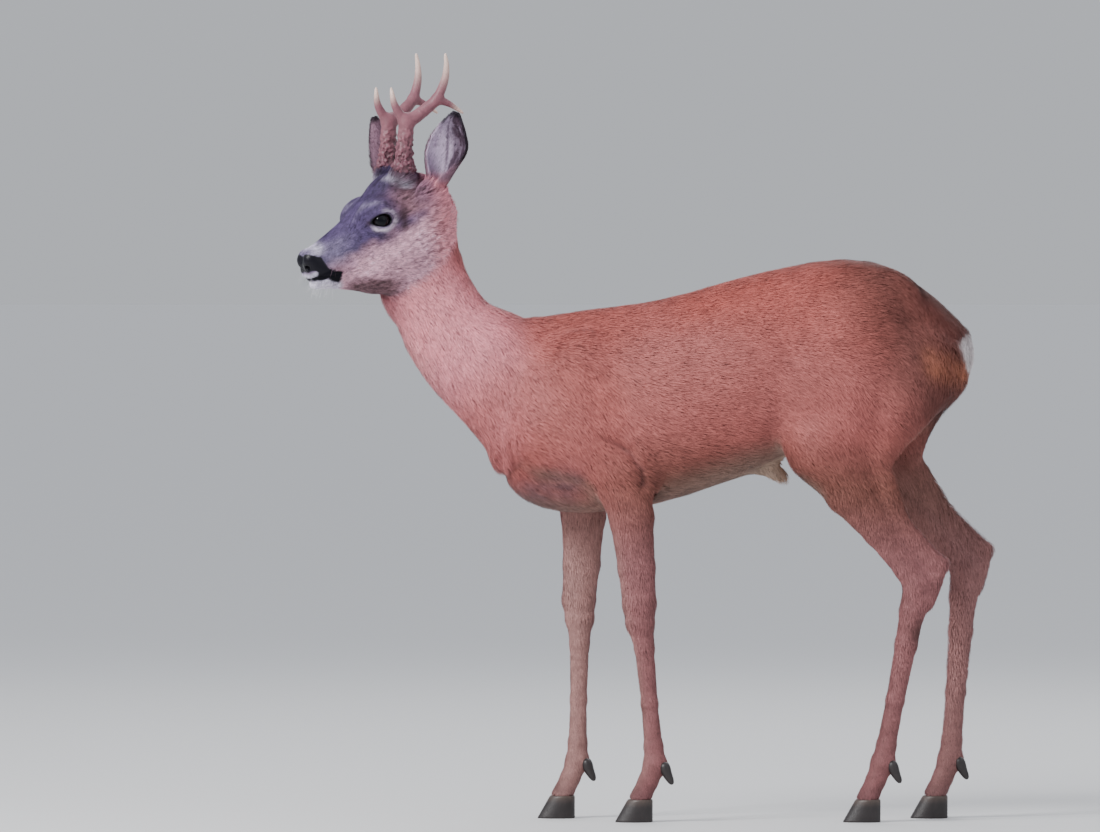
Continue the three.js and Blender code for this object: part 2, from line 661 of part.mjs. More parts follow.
// An ear: a leaf rolled into a cup, thick at the foot and thin at the rim.
function earSolid(ear) {
  const [foot, tip, opening] = [headPoint(...ear.foot), headPoint(...ear.tip), vector(...ear.opening)];
  const spine = tip.clone().sub(foot);
  const length = spine.length();
  const along = spine.clone().normalize();
  const facing = opening.clone().addScaledVector(along, -opening.dot(along)).normalize();
  const wide = new THREE.Vector3().crossVectors(along, facing);
  const sections = 9;
  const sectors = 7;
  const rings = Array.from({ length: sections + 1 }, (_, i) => {
    const s = i / sections;
    const width = EAR.width * Math.sin(Math.PI * clamp(0.16 + 0.8 * s ** 0.85, 0, 1)) ** 0.8;
    const roll = lerp(2.5, 0.95, smoothstep(s, 0, 0.7));
    const radius = Math.max(width / roll, lerp(EAR.foot, 3, smoothstep(s, 0, 0.4)));
    const thick = lerp(EAR.thickness * 2.2, EAR.thickness, smoothstep(s, 0, 0.5));
    const spineOff = ear.bow * Math.sin(Math.PI * s) + radius * 0.7;
    const arc = (turn, r) => {
      const place = foot.clone().addScaledVector(along, s * length).addScaledVector(wide, Math.sin(turn) * r);
      return place.addScaledVector(facing, spineOff - Math.cos(turn) * r);
    };
    const turns = Array.from({ length: sectors }, (__, j) => lerp(-roll, roll, j / (sectors - 1)));
    const outer = turns.map((turn) => arc(turn, radius));
    const inner = turns.reverse().map((turn) => arc(turn * 0.96, radius - thick));
    return [...outer, ...inner];
  });
  return skinOver(rings);
}

const headOver = (field) => netOver(field, [-500, -170, 650], [-215, 90, 905], CELLS.head);
const headNet = headOver(flesh);
const headCoat = headOver((x, y, z) => flesh(x, y, z) - 1.6);
const neckCut = { point: vector(-283, 0, 760), normal: vector(-0.86, -0.16, 0.47) };
const noseCut = { point: headPoint(192, 0, 0), normal: headAlong.clone() };
const socketLeft = addEye("eye_left", 1);
const socketRight = addEye("eye_right", -1);
const sockets = socketLeft.add(socketRight);
const wholeHead = headNet.intersect(sideOf(neckCut.point, neckCut.normal)).subtract(sockets);
addMesh("head", wholeHead.intersect(sideOf(noseCut.point, noseCut.normal.clone().negate())), "coat");
addMesh("nose", wholeHead.intersect(sideOf(noseCut.point, noseCut.normal)), "nose");

for (const [name, ear] of Object.entries(EARS)) addMesh(name, earSolid(ear).subtract(headCoat), "ear");

// An antler: a pearled beam from its burr to the fork, the top beam, and two tines, parted at the forks.
function addAntler(name, side) {
  const place = ([along, across, up]) => headPoint(along, side * across, up);
  const [foot, fork] = [place(ANTLER.burr), place(ANTLER.fork)];
  const [top, front, rear] = [ANTLER.top, ANTLER.front, ANTLER.rear].map((points) => points.map(place));
  const beam = (extra) => {
    const radiusAt = (s, turn) => {
      const burr = ANTLER.burrRadius * Math.exp(-(((s - ANTLER.burrAt) / ANTLER.burrSpread) ** 2));
      const shaft = lerp(ANTLER.beamRadius, ANTLER.forkRadius, s);
      return Math.max(burr, shaft) + extra + (burr > shaft ? ANTLER.pearl * Math.cos(5 * turn) : 0);
    };
    const start = foot.clone().lerp(fork, -ANTLER.burrAt);
    const end = fork.clone().lerp(foot, -extra / 50);
    return hornAlong([start, foot.clone().lerp(fork, 0.5), end], radiusAt, 10, 9);
  };
  const taper = (from) => (s) => lerp(from, ANTLER.tipRadius, s ** 1.3);
  const tine = (points, from) => (extra) => hornAlong(points, (s) => taper(from)(s) + extra);
  const topBeam = tine([fork.clone().lerp(foot, 0.08), ...top], ANTLER.forkRadius * 0.92);
  const frontTine = tine([fork.clone().lerp(foot, 0.1), ...front], ANTLER.tineRadius);
  const rearTine = tine([top[1], ...rear], ANTLER.tineRadius * 0.8);
  addMesh(`${name}_beam`, beam(0).subtract(headCoat), "antler");
  addMesh(`${name}_top`, topBeam(0).subtract(beam(CUT_GAP)), "antler");
  addMesh(`${name}_front_tine`, frontTine(0).subtract(beam(CUT_GAP)).subtract(topBeam(CUT_GAP)), "antler");
  addMesh(`${name}_rear_tine`, rearTine(0).subtract(topBeam(CUT_GAP)), "antler");
}

addAntler("antler_left", 1);
addAntler("antler_right", -1);

// ---------------------------------------------------------------- trunk, neck, tail and legs
for (const [name, leg] of Object.entries(LEGS)) addLeg(name, leg);

const breastCut = {
  point: vector(-150, 0, 560),
  normal: vector(-Math.cos(NECK_SLOPE), 0, Math.sin(NECK_SLOPE)),
};
const neckNet = netOver(flesh, [-400, -120, 440], [0, 120, 880], CELLS.neck);
addMesh(
  "neck",
  neckNet
    .intersect(sideOf(breastCut.point, breastCut.normal))
    .intersect(sideOf(neckCut.point, neckCut.normal.clone().negate())),
  "coat",
);
const trunkNet = netOver(flesh, [-260, -140, 360], [490, 140, 780], CELLS.trunk);
const legless = legRegions.reduce((solid, region) => solid.subtract(region), trunkNet);
addMesh("trunk", legless.intersect(sideOf(breastCut.point, breastCut.normal.clone().negate())), "coat");

const furAtTail = (...p) => flesh(...p) - 2;
const rumpCoat = netOver(furAtTail, [380, -60, 560], [480, 60, 740], CELLS.head);
const tail = new THREE.SphereGeometry(1, 8, 6).scale(TAIL.depth, TAIL.width, TAIL.height);
addMesh("tail", toSolid(tail.translate(...TAIL.place)).subtract(rumpCoat), "tail");

// The origin is under the middle of the whole buck, at the level of its soles.
const overall = new THREE.Box3().setFromObject(root);
const middle = overall.getCenter(vector(0, 0, 0));
root.position.set(-middle.x, -middle.y, -overall.min.z);

export default root;
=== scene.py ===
"""A roe buck in its red summer coat, life size, as a still museum model.

Body shapes are written in millimetres in the buck's own frame (it faces -X, its left side is to -Y, its soles
are at z = 0), and are moved into the frame of the CAD model and turned into metres when a mesh is made.
"""

import math

import bpy
import numpy as np
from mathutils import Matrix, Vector


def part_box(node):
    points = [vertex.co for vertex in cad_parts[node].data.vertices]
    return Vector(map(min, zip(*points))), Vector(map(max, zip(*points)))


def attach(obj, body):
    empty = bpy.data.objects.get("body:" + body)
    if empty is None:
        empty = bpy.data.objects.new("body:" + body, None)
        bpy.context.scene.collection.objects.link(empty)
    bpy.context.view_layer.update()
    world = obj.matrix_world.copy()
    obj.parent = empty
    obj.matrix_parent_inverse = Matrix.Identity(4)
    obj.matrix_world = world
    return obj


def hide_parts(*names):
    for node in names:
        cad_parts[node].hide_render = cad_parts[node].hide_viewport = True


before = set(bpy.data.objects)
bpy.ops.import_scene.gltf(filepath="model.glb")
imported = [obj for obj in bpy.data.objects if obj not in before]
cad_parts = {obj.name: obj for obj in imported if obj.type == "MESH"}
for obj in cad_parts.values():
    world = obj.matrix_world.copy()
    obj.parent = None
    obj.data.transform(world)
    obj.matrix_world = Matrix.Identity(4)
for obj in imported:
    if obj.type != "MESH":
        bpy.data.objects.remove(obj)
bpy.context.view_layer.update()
rng = np.random.default_rng(7)

# ---------------------------------------------------------------- driving dimensions, as in the CAD model
LEG_Y = 58.0
FOOT_Y = 50.0
HEAD_YAW = math.radians(24)
HEAD_PITCH = math.radians(25)
HEAD_PIVOT = np.array([-267.0, -12.0, 817.0])
EYE_PLACE = (93.5, 36.0, 13.5)
EYE_RADIUS = 13.5
LID_TILT = math.radians(17)

# Trunk: x, height of the back, height of the belly, half width.
TRUNK = [
    (-176, 536, 470, 18),
    (-165, 602, 441, 42),
    (-145, 645, 421, 58),
    (-115, 663, 409, 68),
    (-75, 671, 404, 74),
    (-30, 677, 407, 80),
    (20, 684, 414, 88),
    (65, 694, 426, 95),
    (110, 707, 441, 98),
    (155, 719, 457, 97),
    (200, 729, 478, 91),
    (245, 737, 500, 84),
    (290, 736, 508, 80),
    (330, 713, 514, 75),
    (370, 688, 524, 66),
    (405, 666, 542, 53),
    (428, 650, 566, 36),
    (442, 628, 600, 8),
]
TRUNK_EGG = 0.1

# Neck, in a frame from behind the jaw down to the breast: distance, nape, throat, half width, shift in y.
NECK_TOP = (-285.0, 740.0)
NECK_SLOPE = math.atan2(195, 165)
NECK = [
    (-30, 46, -40, 26, -12),
    (0, 58, -66, 36, -11),
    (25, 50, -76, 39, -9),
    (49, 40, -80, 40, -6),
    (76, 34, -88, 43, -4),
    (105, 34, -94, 47, -2),
    (145, 53, -97, 54, 0),
    (196, 70, -95, 60, 0),
    (245, 56, -95, 58, 0),
    (280, 10, -97, 42, 0),
    (292, -30, -80, 14, 0),
]

# Head, in its own frame: along the head axis towards the nose, crown, jaw, half width.
HEAD = [
    (-16, 16, -40, 20),
    (0, 38, -60, 34),
    (20, 50, -76, 39),
    (42, 58, -88, 40),
    (62, 59, -93, 38),
    (90, 47, -91, 33),
    (110, 38, -86, 29),
    (130, 31, -77, 26),
    (150, 26, -63, 23.5),
    (170, 21.5, -51, 22),
    (186, 17.5, -41, 21),
    (197, 12, -31, 18),
    (204, 3, -18, 12),
]
HEAD_EGG = 0.16

# Joints of each leg, as x and z; the near legs are the left ones.
FORELEGS = [
    dict(
        name="foreleg_left", side=-1, shoulder=(-140, 500), elbow=(-12, 468), knee=(7, 280),
        fetlock=(26, 76),
    ),
    dict(
        name="foreleg_right", side=1, shoulder=(-150, 498), elbow=(-66, 466), knee=(-72, 282),
        fetlock=(-76, 76),
    ),
]
HINDLEGS = [
    dict(
        name="hindleg_left", side=-1, hip=(312, 640), stifle=(243, 488), hock=(371, 318), heel=(401, 340),
        fetlock=(325, 78),
    ),
    dict(
        name="hindleg_right", side=1, hip=(325, 640), stifle=(290, 496), hock=(437, 336), heel=(463, 355),
        fetlock=(416, 78),
    ),
]
LEGS = FORELEGS + HINDLEGS
HOOF = {"length": 50.0, "width": 16.5, "height": 30.0, "cleft": 0.8}
# The fold behind the elbow, as x and z from the elbow.
ELBOW_FOLD = [(-44, 50), (-18, 34), (1, 22), (15, -3), (18, -22)]

# Rounded forms, as middle, size and tilt: the point of the hip on both sides, the sheath under
# the belly, the fat over the rump in front of the tail, and the tail.
HIP_POINT = ((300, 40, 690), (70, 26, 40), -4)
SHEATH = ((168, 0, 466), (34, 12, 13), 18)
RUMP_FILL = ((362, 0, 678), (80, 48, 25), 36)
TAIL = ((432, 0, 626), (6, 11, 22))
# The same in the head's frame, on both sides: the cheekbone from the muzzle under the eye to
# the temple, and the forms of the head, which also have the softness of their joins.
CHEEKBONE = ((90, 18, 10), (50, 20, 20), 10)
HEAD_FORMS = [
    ((92, 28, 22), (26, 20, 21), 6, 16),  # orbit
    ((58, 24, -34), (44, 17, 34), -14, 24),  # cheek
    ((38, 24, 46), (20, 17, 18), 0, 16),  # foot of the antler
    ((18, 40, 4), (24, 18, 26), 0, 22),  # root of the ear
    ((191, 10, 2), (15, 12, 15), 0, 7),  # nostril
    ((176, 11, -14), (26, 12, 17), -8, 10),  # upper lip
    ((184, 3, -31), (21, 12, 10), -6, 7),  # chin
]

# Ears and antlers, in the head's frame: along the muzzle, across to the left, up from the axis.
EAR = {"width": 41.0, "foot": 11.0, "thickness": 3.0}
EARS = [
    {"foot": (-1, 36, 16), "tip": (-50, 75, 101), "opening": (-0.5, -0.86, 0.1), "bow": -6},
    {"foot": (6, -36, 14), "tip": (0, -74, 118), "opening": (-0.8, 0.6, 0.1), "bow": 6},
]
ANTLER = {
    "burr": (32, 27, 56),
    "fork": (0, 29, 116),
    "front": [(7, 28, 139), (1, 25, 162)],
    "top": [(-26, 34, 117), (-46, 39, 124), (-64, 44, 141), (-74, 47, 158), (-79, 48, 174)],
    "rear": [(-59, 41, 111), (-71.5, 42, 92)],
    "burr_radius": 16.5,
    "beam_radius": 10.5,
    "fork_radius": 9.0,
    "tine_radius": 6.5,
    "tip_radius": 1.2,
}


# ---------------------------------------------------------------- frames and small helpers
HEAD_LEVEL = np.array([-math.cos(HEAD_YAW), -math.sin(HEAD_YAW), 0.0])
HEAD_ACROSS = np.array([math.sin(HEAD_YAW), -math.cos(HEAD_YAW), 0.0])
HEAD_ALONG = HEAD_LEVEL * math.cos(HEAD_PITCH) - np.array([0, 0, math.sin(HEAD_PITCH)])
HEAD_UP = HEAD_LEVEL * math.sin(HEAD_PITCH) + np.array([0, 0, math.cos(HEAD_PITCH)])
NECK_DIRECTION = np.array([math.cos(NECK_SLOPE), 0, -math.sin(NECK_SLOPE)])
NECK_NAPE = np.array([math.sin(NECK_SLOPE), 0, math.cos(NECK_SLOPE)])


def head_point(along, across, up):
    return HEAD_PIVOT + along * HEAD_ALONG + across * HEAD_ACROSS + up * HEAD_UP


def head_coords(p):
    q = p - HEAD_PIVOT
    return q @ HEAD_ALONG, q @ HEAD_ACROSS, q @ HEAD_UP


def neck_coords(p):
    q = p - np.array([NECK_TOP[0], 0, NECK_TOP[1]])
    return q @ NECK_DIRECTION, p[:, 1], q @ NECK_NAPE


TO_FRAME = np.array(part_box("eye_left")).mean(axis=0) - head_point(*EYE_PLACE) / 1000


def to_frame(p):
    return p / 1000 + TO_FRAME


def step(x, low, high):
    """0 below low, 1 above high, smooth between; high may be the lower one."""
    t = np.clip((x - low) / (high - low), 0, 1)
    return t * t * (3 - 2 * t)


def bell(x, middle, width):
    return np.exp(-(((x - middle) / width) ** 2))


def unit(v):
    return v / np.maximum(np.linalg.norm(v, axis=-1, keepdims=True), 1e-9)


def noise(p, scale, seed=0):
    """Smooth value noise between -1 and 1 at points p, with features about scale across."""
    q = p / scale + 17.3 * (seed + 1)
    base = np.floor(q).astype(np.int64)
    t = q - base
    t = t * t * (3 - 2 * t)
    total = np.zeros(len(p))
    for corner in range(8):
        offset = np.array([corner & 1, corner >> 1 & 1, corner >> 2])
        key = (base + offset) @ np.array([73856093, 19349663, 83492791]) + seed * 2654435761
        key = (key ^ (key >> 13)) * 1274126177 & 0xFFFFFFFF
        value = ((key ^ (key >> 16)) & 0xFFFF) / 32767.5 - 1
        weight = np.prod(np.where(offset == 1, t, 1 - t), axis=1)
        total += value * weight
    return total


# ---------------------------------------------------------------- the field of the flesh
def blend(a, b, k):
    h = np.maximum(k - np.abs(a - b), 0) / k
    return np.minimum(a, b) - h * h * k / 4


def smooth_table(rows):
    """Columns of a table read smoothly, once a millimetre."""
    rows = np.array([tuple(row) + (0,) * (5 - len(row)) for row in rows], dtype=float)
    s = np.arange(rows[0, 0], rows[-1, 0] + 0.5, 1.0)
    last = len(rows) - 1
    i = np.clip(np.searchsorted(rows[:, 0], s, side="left") - 1, 0, last - 1)
    before, start, end, after = (rows[np.clip(i + k, 0, last)] for k in (-1, 0, 1, 2))
    span = (end[:, 0] - start[:, 0])[:, None]
    h = ((s - start[:, 0]) / span[:, 0])[:, None]
    slope_in = (end - before) / (end[:, :1] - before[:, :1]) * span
    slope_out = (after - start) / (after[:, :1] - start[:, :1]) * span
    read = start * (1 + 2 * h) * (1 - h) ** 2 + end * (3 - 2 * h) * h * h
    read = read + slope_in * h * (1 - h) ** 2 - slope_out * (1 - h) * h * h
    read[:, 0] = s
    return read


def lofted(table, s, y, t, egg=0.0):
    inside = np.clip(s, table[0, 0], table[-1, 0])
    top, bottom, half, shift = (np.interp(inside, table[:, 0], table[:, c]) for c in (1, 2, 3, 4))
    radius = (top - bottom) / 2
    up = t - (top + bottom) / 2
    across = y - shift
    width = half * (1 - egg * np.clip(up / radius, -1, 1))
    reach = np.hypot(up, across)
    share = np.maximum(np.hypot(up / radius, across / width), 1e-6)
    d = reach - reach / share
    past = np.abs(s - inside)
    return np.where(past > 0, np.hypot(np.maximum(d, 0), past), d)


def ellipsoid(x, y, z, centre, size, tilt=0.0):
    dx, dy, dz = x - centre[0], y - centre[1], z - centre[2]
    c, s = math.cos(math.radians(tilt)), math.sin(math.radians(tilt))
    a, b = dx * c - dz * s, dx * s + dz * c
    near = np.sqrt((a / size[0]) ** 2 + (dy / size[1]) ** 2 + (b / size[2]) ** 2)
    slope = np.sqrt((a / size[0] ** 2) ** 2 + (dy / size[1] ** 2) ** 2 + (b / size[2] ** 2) ** 2)
    return near * (near - 1) / np.maximum(slope, 1e-9)


def limb(x, y, z, stations):
    """A chain of oval cones through stations of (x, y, z, depth, side)."""
    d = None
    for start, end in zip(stations, stations[1:]):
        ex, ey, ez = (end[i] - start[i] for i in range(3))
        dx, dy, dz = x - start[0], y - start[1], z - start[2]
        h = np.clip((dx * ex + dy * ey + dz * ez) / (ex * ex + ey * ey + ez * ez), 0, 1)
        depth = start[3] + (end[3] - start[3]) * h
        side = start[4] + (end[4] - start[4]) * h
        off = np.sqrt((dx - ex * h) ** 2 + (dz - ez * h) ** 2 + ((dy - ey * h) * depth / side) ** 2) - depth
        d = off if d is None else blend(d, off, 5.0)
    return d


def between(a, b, h):
    return tuple(a[i] + (b[i] - a[i]) * h for i in range(2))


def at(place, y, depth, side):
    return (place[0], y, place[1], depth, side)


def foot_stations(fetlock, depth, y, drop):
    """Fetlock, pastern and coronet."""
    x, z = fetlock
    return [
        at(fetlock, y, depth, 15.5),
        at((x - 9, z - 22), y, 13.5, 14.5),
        at((x - 20, z - drop), y, 15.5, 16.5),
    ]


def foreleg_stations(leg):
    side, elbow, knee, fetlock = leg["side"], leg["elbow"], leg["knee"], leg["fetlock"]
    y, foot = side * LEG_Y, side * FOOT_Y
    return [
        at((elbow[0] - 8, elbow[1] - 8), y, 38, 24),
        at(between(elbow, knee, 0.35), y, 31, 21),
        at(between(elbow, knee, 0.7), y, 25.5, 17),
        at((knee[0] - 2, knee[1] + 8), y, 23, 18),
        at((knee[0] - 1, knee[1] - 16), side * (LEG_Y - 1), 20, 16.5),
        at(between(knee, fetlock, 0.24), side * (LEG_Y - 2), 14, 11.5),
        at(between(knee, fetlock, 0.6), side * (LEG_Y - 5), 12, 10.5),
        at(between(knee, fetlock, 0.88), foot, 13.5, 12.5),
        *foot_stations(fetlock, 16.5, foot, 46),
    ]


def hindleg_stations(leg):
    side, stifle, hock, fetlock = leg["side"], leg["stifle"], leg["hock"], leg["fetlock"]
    y, foot = side * (LEG_Y + 2), side * FOOT_Y
    return [
        at((stifle[0] + 4, stifle[1] + 4), side * (LEG_Y + 6), 44, 30),
        at(between(stifle, hock, 0.3), y, 36, 24),
        at(between(stifle, hock, 0.6), y, 25, 18),
        at(between(stifle, hock, 0.88), y, 20, 15.5),
        at((hock[0], hock[1] - 4), y, 21, 16),
        at(between(hock, fetlock, 0.16), y, 18, 13.5),
        at(between(hock, fetlock, 0.34), side * LEG_Y, 15.5, 12),
        at(between(hock, fetlock, 0.65), side * (LEG_Y - 4), 13, 11),
        at(between(hock, fetlock, 0.9), foot, 14, 12.5),
        *foot_stations(fetlock, 17, foot, 47),
    ]


def foreleg(x, y, z, leg):
    side, shoulder, elbow = leg["side"], leg["shoulder"], leg["elbow"]
    scapula = ellipsoid(x, y, z, (shoulder[0] + 48, side * 52, 572), (46, 24, 76), 24)
    upper_arm = ellipsoid(x, y, z, ((shoulder[0] + elbow[0]) / 2 + 4, side * 59, 505), (78, 25, 48), 8)
    point = ellipsoid(x, y, z, (shoulder[0] + 12, side * 50, shoulder[1]), (30, 24, 36))
    olecranon = ellipsoid(x, y, z, (elbow[0] + 8, side * 60, elbow[1] + 4), (15, 14, 20))
    arm = limb(x, y, z, foreleg_stations(leg))
    return blend(blend(blend(scapula, upper_arm, 30), blend(point, olecranon, 4), 24), arm, 22)


def hindleg(x, y, z, leg):
    side, hip, stifle, hock, heel = (leg[key] for key in ("side", "hip", "stifle", "hock", "heel"))
    thigh = ellipsoid(x, y, z, ((hip[0] + stifle[0]) / 2 + 2, side * 58, 572), (68, 36, 122), 14)
    buttock = ellipsoid(x, y, z, (hip[0] + 54, side * 44, 576), (42, 34, 74), 24)
    tendon = [
        at((hip[0] + 34, 548), side * 54, 38, 27),
        at((stifle[0] + 69, 474), side * 56, 21, 17),
        at(between(stifle, heel, 0.66), side * 59, 17, 9.5),
        at((heel[0] - 10, heel[1] + 3), side * 60, 15, 9),
        at(heel, side * 60, 10.5, 9.5),
        at((hock[0] + 12, hock[1] - 26), side * 60, 11, 9),
    ]
    hamstring = limb(x, y, z, tendon)
    patella = ellipsoid(x, y, z, (stifle[0] - 20, side * 66, stifle[1] + 2), (22, 20, 34), -24)
    flank = ellipsoid(x, y, z, (stifle[0] - 18, side * 64, stifle[1] + 62), (30, 20, 50), -8)
    shank = limb(x, y, z, hindleg_stations(leg))
    upper = blend(blend(thigh, buttock, 34), blend(patella, flank, 30), 34)
    return blend(blend(shank, hamstring, 12), upper, 26)


TRUNK_READ, NECK_READ, HEAD_READ = smooth_table(TRUNK), smooth_table(NECK), smooth_table(HEAD)


def trunk_field(p):
    return lofted(TRUNK_READ, *p.T, TRUNK_EGG)


def neck_field(p):
    return lofted(NECK_READ, *neck_coords(p))


def hip_field(p):
    x, y, z = p.T
    return ellipsoid(x, np.abs(y), z, *HIP_POINT)


def leg_field(p, leg):
    return foreleg(*p.T, leg) if "elbow" in leg else hindleg(*p.T, leg)


def head_field(p):
    a, v, b = head_coords(p)
    v = np.abs(v)
    d = lofted(HEAD_READ, a, v, b, HEAD_EGG)
    for middle, size, tilt, softness in HEAD_FORMS:
        d = blend(d, ellipsoid(a, v, b, middle, size, tilt), softness)
    return d


def within(p, low, high):
    return np.all((p > np.array(low)) & (p < np.array(high)), axis=1)


def join(d, p, low, high, part, softness):
    """Blends a part into the field d at points p, worked out only in the box from low to high."""
    near = within(p, low, high)
    if near.any():
        d[near] = blend(d[near], part(p[near]), softness)


def flesh(p):
    """The CAD model's outer surface: negative inside."""
    d = np.full(len(p), 400.0)
    join(d, p, (-230, -150, 350), (500, 150, 790), trunk_field, 1)
    join(d, p, (-400, -130, 430), (-20, 130, 880), neck_field, 34)
    join(d, p, (180, -120, 600), (430, 120, 780), hip_field, 36)
    for leg in LEGS:
        front, back, top = -240, 520, 750
        if "elbow" in leg:
            back, top = leg["elbow"][0] + 100, 730
        else:
            front = leg["stifle"][0] - 100
        right, left = sorted((0, leg["side"] * 130))
        join(d, p, (front, right - 25, -20), (back, left + 25, top), lambda q, leg=leg: leg_field(q, leg), 26)
    join(d, p, (100, -50, 430), (240, 50, 510), lambda q: ellipsoid(*q.T, *SHEATH), 16)
    join(d, p, (-480, -160, 650), (-190, 110, 910), head_field, 16)
    return d


# ---------------------------------------------------------------- the skin's own shape
EAR_FRAMES = []
for ear in EARS:
    foot, tip = head_point(*ear["foot"]), head_point(*ear["tip"])
    length = np.linalg.norm(tip - foot)
    along = (tip - foot) / length
    facing = np.array(ear["opening"], float)
    facing = unit(facing - (facing @ along) * along)
    EAR_FRAMES.append((foot, along, facing, np.cross(along, facing), length, ear["bow"]))


def ear_coords(p, ear_frame):
    """Share of the ear's length, angle round its back, half the angle of its shell, distance from the shell's
    middle, half its thickness, and whether the point is inside the ear."""
    foot, along, facing, wide, length, bow = ear_frame
    q = p - foot
    s = np.clip(q @ along / length, 0, 1)
    width = EAR["width"] * np.sin(np.pi * np.clip(0.16 + 0.8 * s**0.85, 0, 1)) ** 0.8
    roll = 2.5 + (0.95 - 2.5) * step(s, 0, 0.7)
    radius = np.maximum(width / roll, EAR["foot"] + (3 - EAR["foot"]) * step(s, 0, 0.4))
    thick = EAR["thickness"] * (2.2 - 1.2 * step(s, 0, 0.5)) - 0.5
    middle = radius - thick / 2 - 0.25
    u = q @ wide
    w = q @ facing - bow * np.sin(np.pi * s) - radius * 0.7
    past = (q @ along) - s * length
    turn = np.arctan2(u, -w)
    held = np.clip(turn, -roll * 0.97, roll * 0.97)
    off = np.sqrt((u - np.sin(held) * middle) ** 2 + (w + np.cos(held) * middle) ** 2 + past**2)
    return s, turn, roll, off, thick / 2, np.hypot(u, w) < middle


def ear_field(p, ear_frame):
    _, _, _, off, half, _ = ear_coords(p, ear_frame)
    return off - half


def coat_depth(p):
    """How far the skin lies under the tips of the coat."""
    a = head_coords(p)[0]
    face = step(a, 0, 60) * step(p[:, 2], 640, 700)
    leg = step(p[:, 2], 420, 300)
    foot = step(p[:, 2], 120, 50)
    body = 3.4 + 0.6 * step(p[:, 0], -120, -200)
    depth = body * (1 - leg) + 2.2 * leg
    depth = depth * (1 - face) + 1.6 * face
    return depth - 0.6 * foot - 0.5 * face * step(a, 150, 185)


def lid_coords(a, b):
    """Forward along the opening of the lids and up across it; it is nearer to level than the head."""
    x, y = a - EYE_PLACE[0], b - EYE_PLACE[2]
    return x * math.cos(LID_TILT) + y * math.sin(LID_TILT), -x * math.sin(LID_TILT) + y * math.cos(LID_TILT)


def almond(a, b):
    """The opening of the lids, seen from the side: negative inside, pointed in front."""
    x, y = lid_coords(a, b)
    half = np.where(y > 0, 8.4, 7.0)
    front = np.maximum(x, 0) / 14.0
    back = np.maximum(-x, 0) / 11.6
    reach = np.sqrt(front**1.6 + back**2.2 + (np.abs(y) / half) ** 2)
    return (reach - 1) * half * 0.9


def face_details(d, p):
    """Eye sockets with lids, nostrils, the line of the mouth and the folds of the face."""
    a, v, b = head_coords(p)
    v = np.abs(v)
    # A hollow in front of the eye, the tear groove and a fold above the lid.
    d = d + 1.6 * bell(a, 118, 12) * bell(b, 6, 8) * step(v, 14, 22)
    d = d - 1.2 * bell(a, 88, 20) * bell(b, 31, 5) * step(v, 20, 30)
    # The mouth runs back from under the nose pad to its corner, and a fold of the cheek goes on behind it.
    line = -18 - 10.5 * step(a, 202, 168) - 2.0 * bell(a, 186, 8)
    d = d + 2.3 * bell(b - line, 0, 1.5) * step(a, 163, 170) * step(v, 0, 3)
    fold = -29 - 0.35 * (163 - a)
    d = d + 0.9 * bell(b - fold, 0, 3.5) * step(a, 118, 145) * step(a, 170, 160)
    # Nostrils: commas at the front corners of the nose pad.
    ahead = (a - 203 + 0.35 * (b + 4)) / 6.5
    comma = np.sqrt(ahead**2 + ((v - 11.5) / 4.2) ** 2 + ((b + 3.5) / 4.4) ** 2)
    d = np.maximum(d, (1 - comma) * 4.0)
    d = d + 0.9 * bell(v, 0, 1.3) * step(a, 198, 204)
    # Eyeball and lids.
    r = np.sqrt((a - EYE_PLACE[0]) ** 2 + (v - EYE_PLACE[1]) ** 2 + (b - EYE_PLACE[2]) ** 2)
    opening = almond(a, b)
    shell = np.maximum(r - EYE_RADIUS - 1.2, -(v - EYE_PLACE[1] + 2))
    d = blend(d, shell, 10)
    cut = np.maximum(opening, EYE_PLACE[1] + 3 - v)
    d = -blend(-d, cut, 2.0)
    return np.maximum(d, EYE_RADIUS + 0.15 - r)


def elbow_fold(p):
    """Distance from the fold behind each elbow, seen from the side."""
    nearest = np.full(len(p), 1e3)
    for leg in FORELEGS:
        spots = np.array(leg["elbow"]) + np.array(ELBOW_FOLD)
        for start, end in zip(spots, spots[1:]):
            q = p[:, [0, 2]] - start
            along = np.clip(q @ (end - start) / ((end - start) @ (end - start)), 0, 1)
            reach = np.hypot(*(q - along[:, None] * (end - start)).T)
            own = p[:, 1] * leg["side"] > 25
            nearest = np.where(own, np.minimum(nearest, reach), nearest)
    return nearest


def skin_field(p):
    """The skin: under the tips of the coat, with the forms that are too fine for the CAD model."""
    d = flesh(p) + coat_depth(p)
    join(d, p, (270, -90, 590), (460, 90, 760), lambda q: ellipsoid(*q.T, *RUMP_FILL), 18)
    near = within(p, (-160, -130, 430), (40, 130, 540))
    if near.any():
        d[near] += 6.0 * bell(elbow_fold(p[near]), 0, 7) * step(p[near, 2], 522, 488)
    join(d, p, (405, -40, 570), (470, 40, 680), lambda q: ellipsoid(*q.T, *TAIL), 6)
    for ear_frame in EAR_FRAMES:
        foot, along, _, _, length, _ = ear_frame
        ends = np.array([foot, foot + along * length])
        ear = lambda q, ear_frame=ear_frame: ear_field(q, ear_frame)
        join(d, p, ends.min(axis=0) - 45, ends.max(axis=0) + 45, ear, 11)
    near = within(p, (-480, -160, 690), (-260, 90, 870))
    if near.any():
        a, v, b = head_coords(p[near])
        d[near] = blend(d[near], ellipsoid(a, np.abs(v), b, *CHEEKBONE) + 1.6, 20)
        d[near] = face_details(d[near], p[near])
    return np.maximum(d, HOOF["height"] + 0.3 - p[:, 2])


def axis(*spans):
    """Grid lines from spans of (start, end, cell)."""
    lines = [np.linspace(a, b, max(2, round((b - a) / cell) + 1))[:-1] for a, b, cell in spans]
    return np.concatenate([*lines, [spans[-1][1]]])


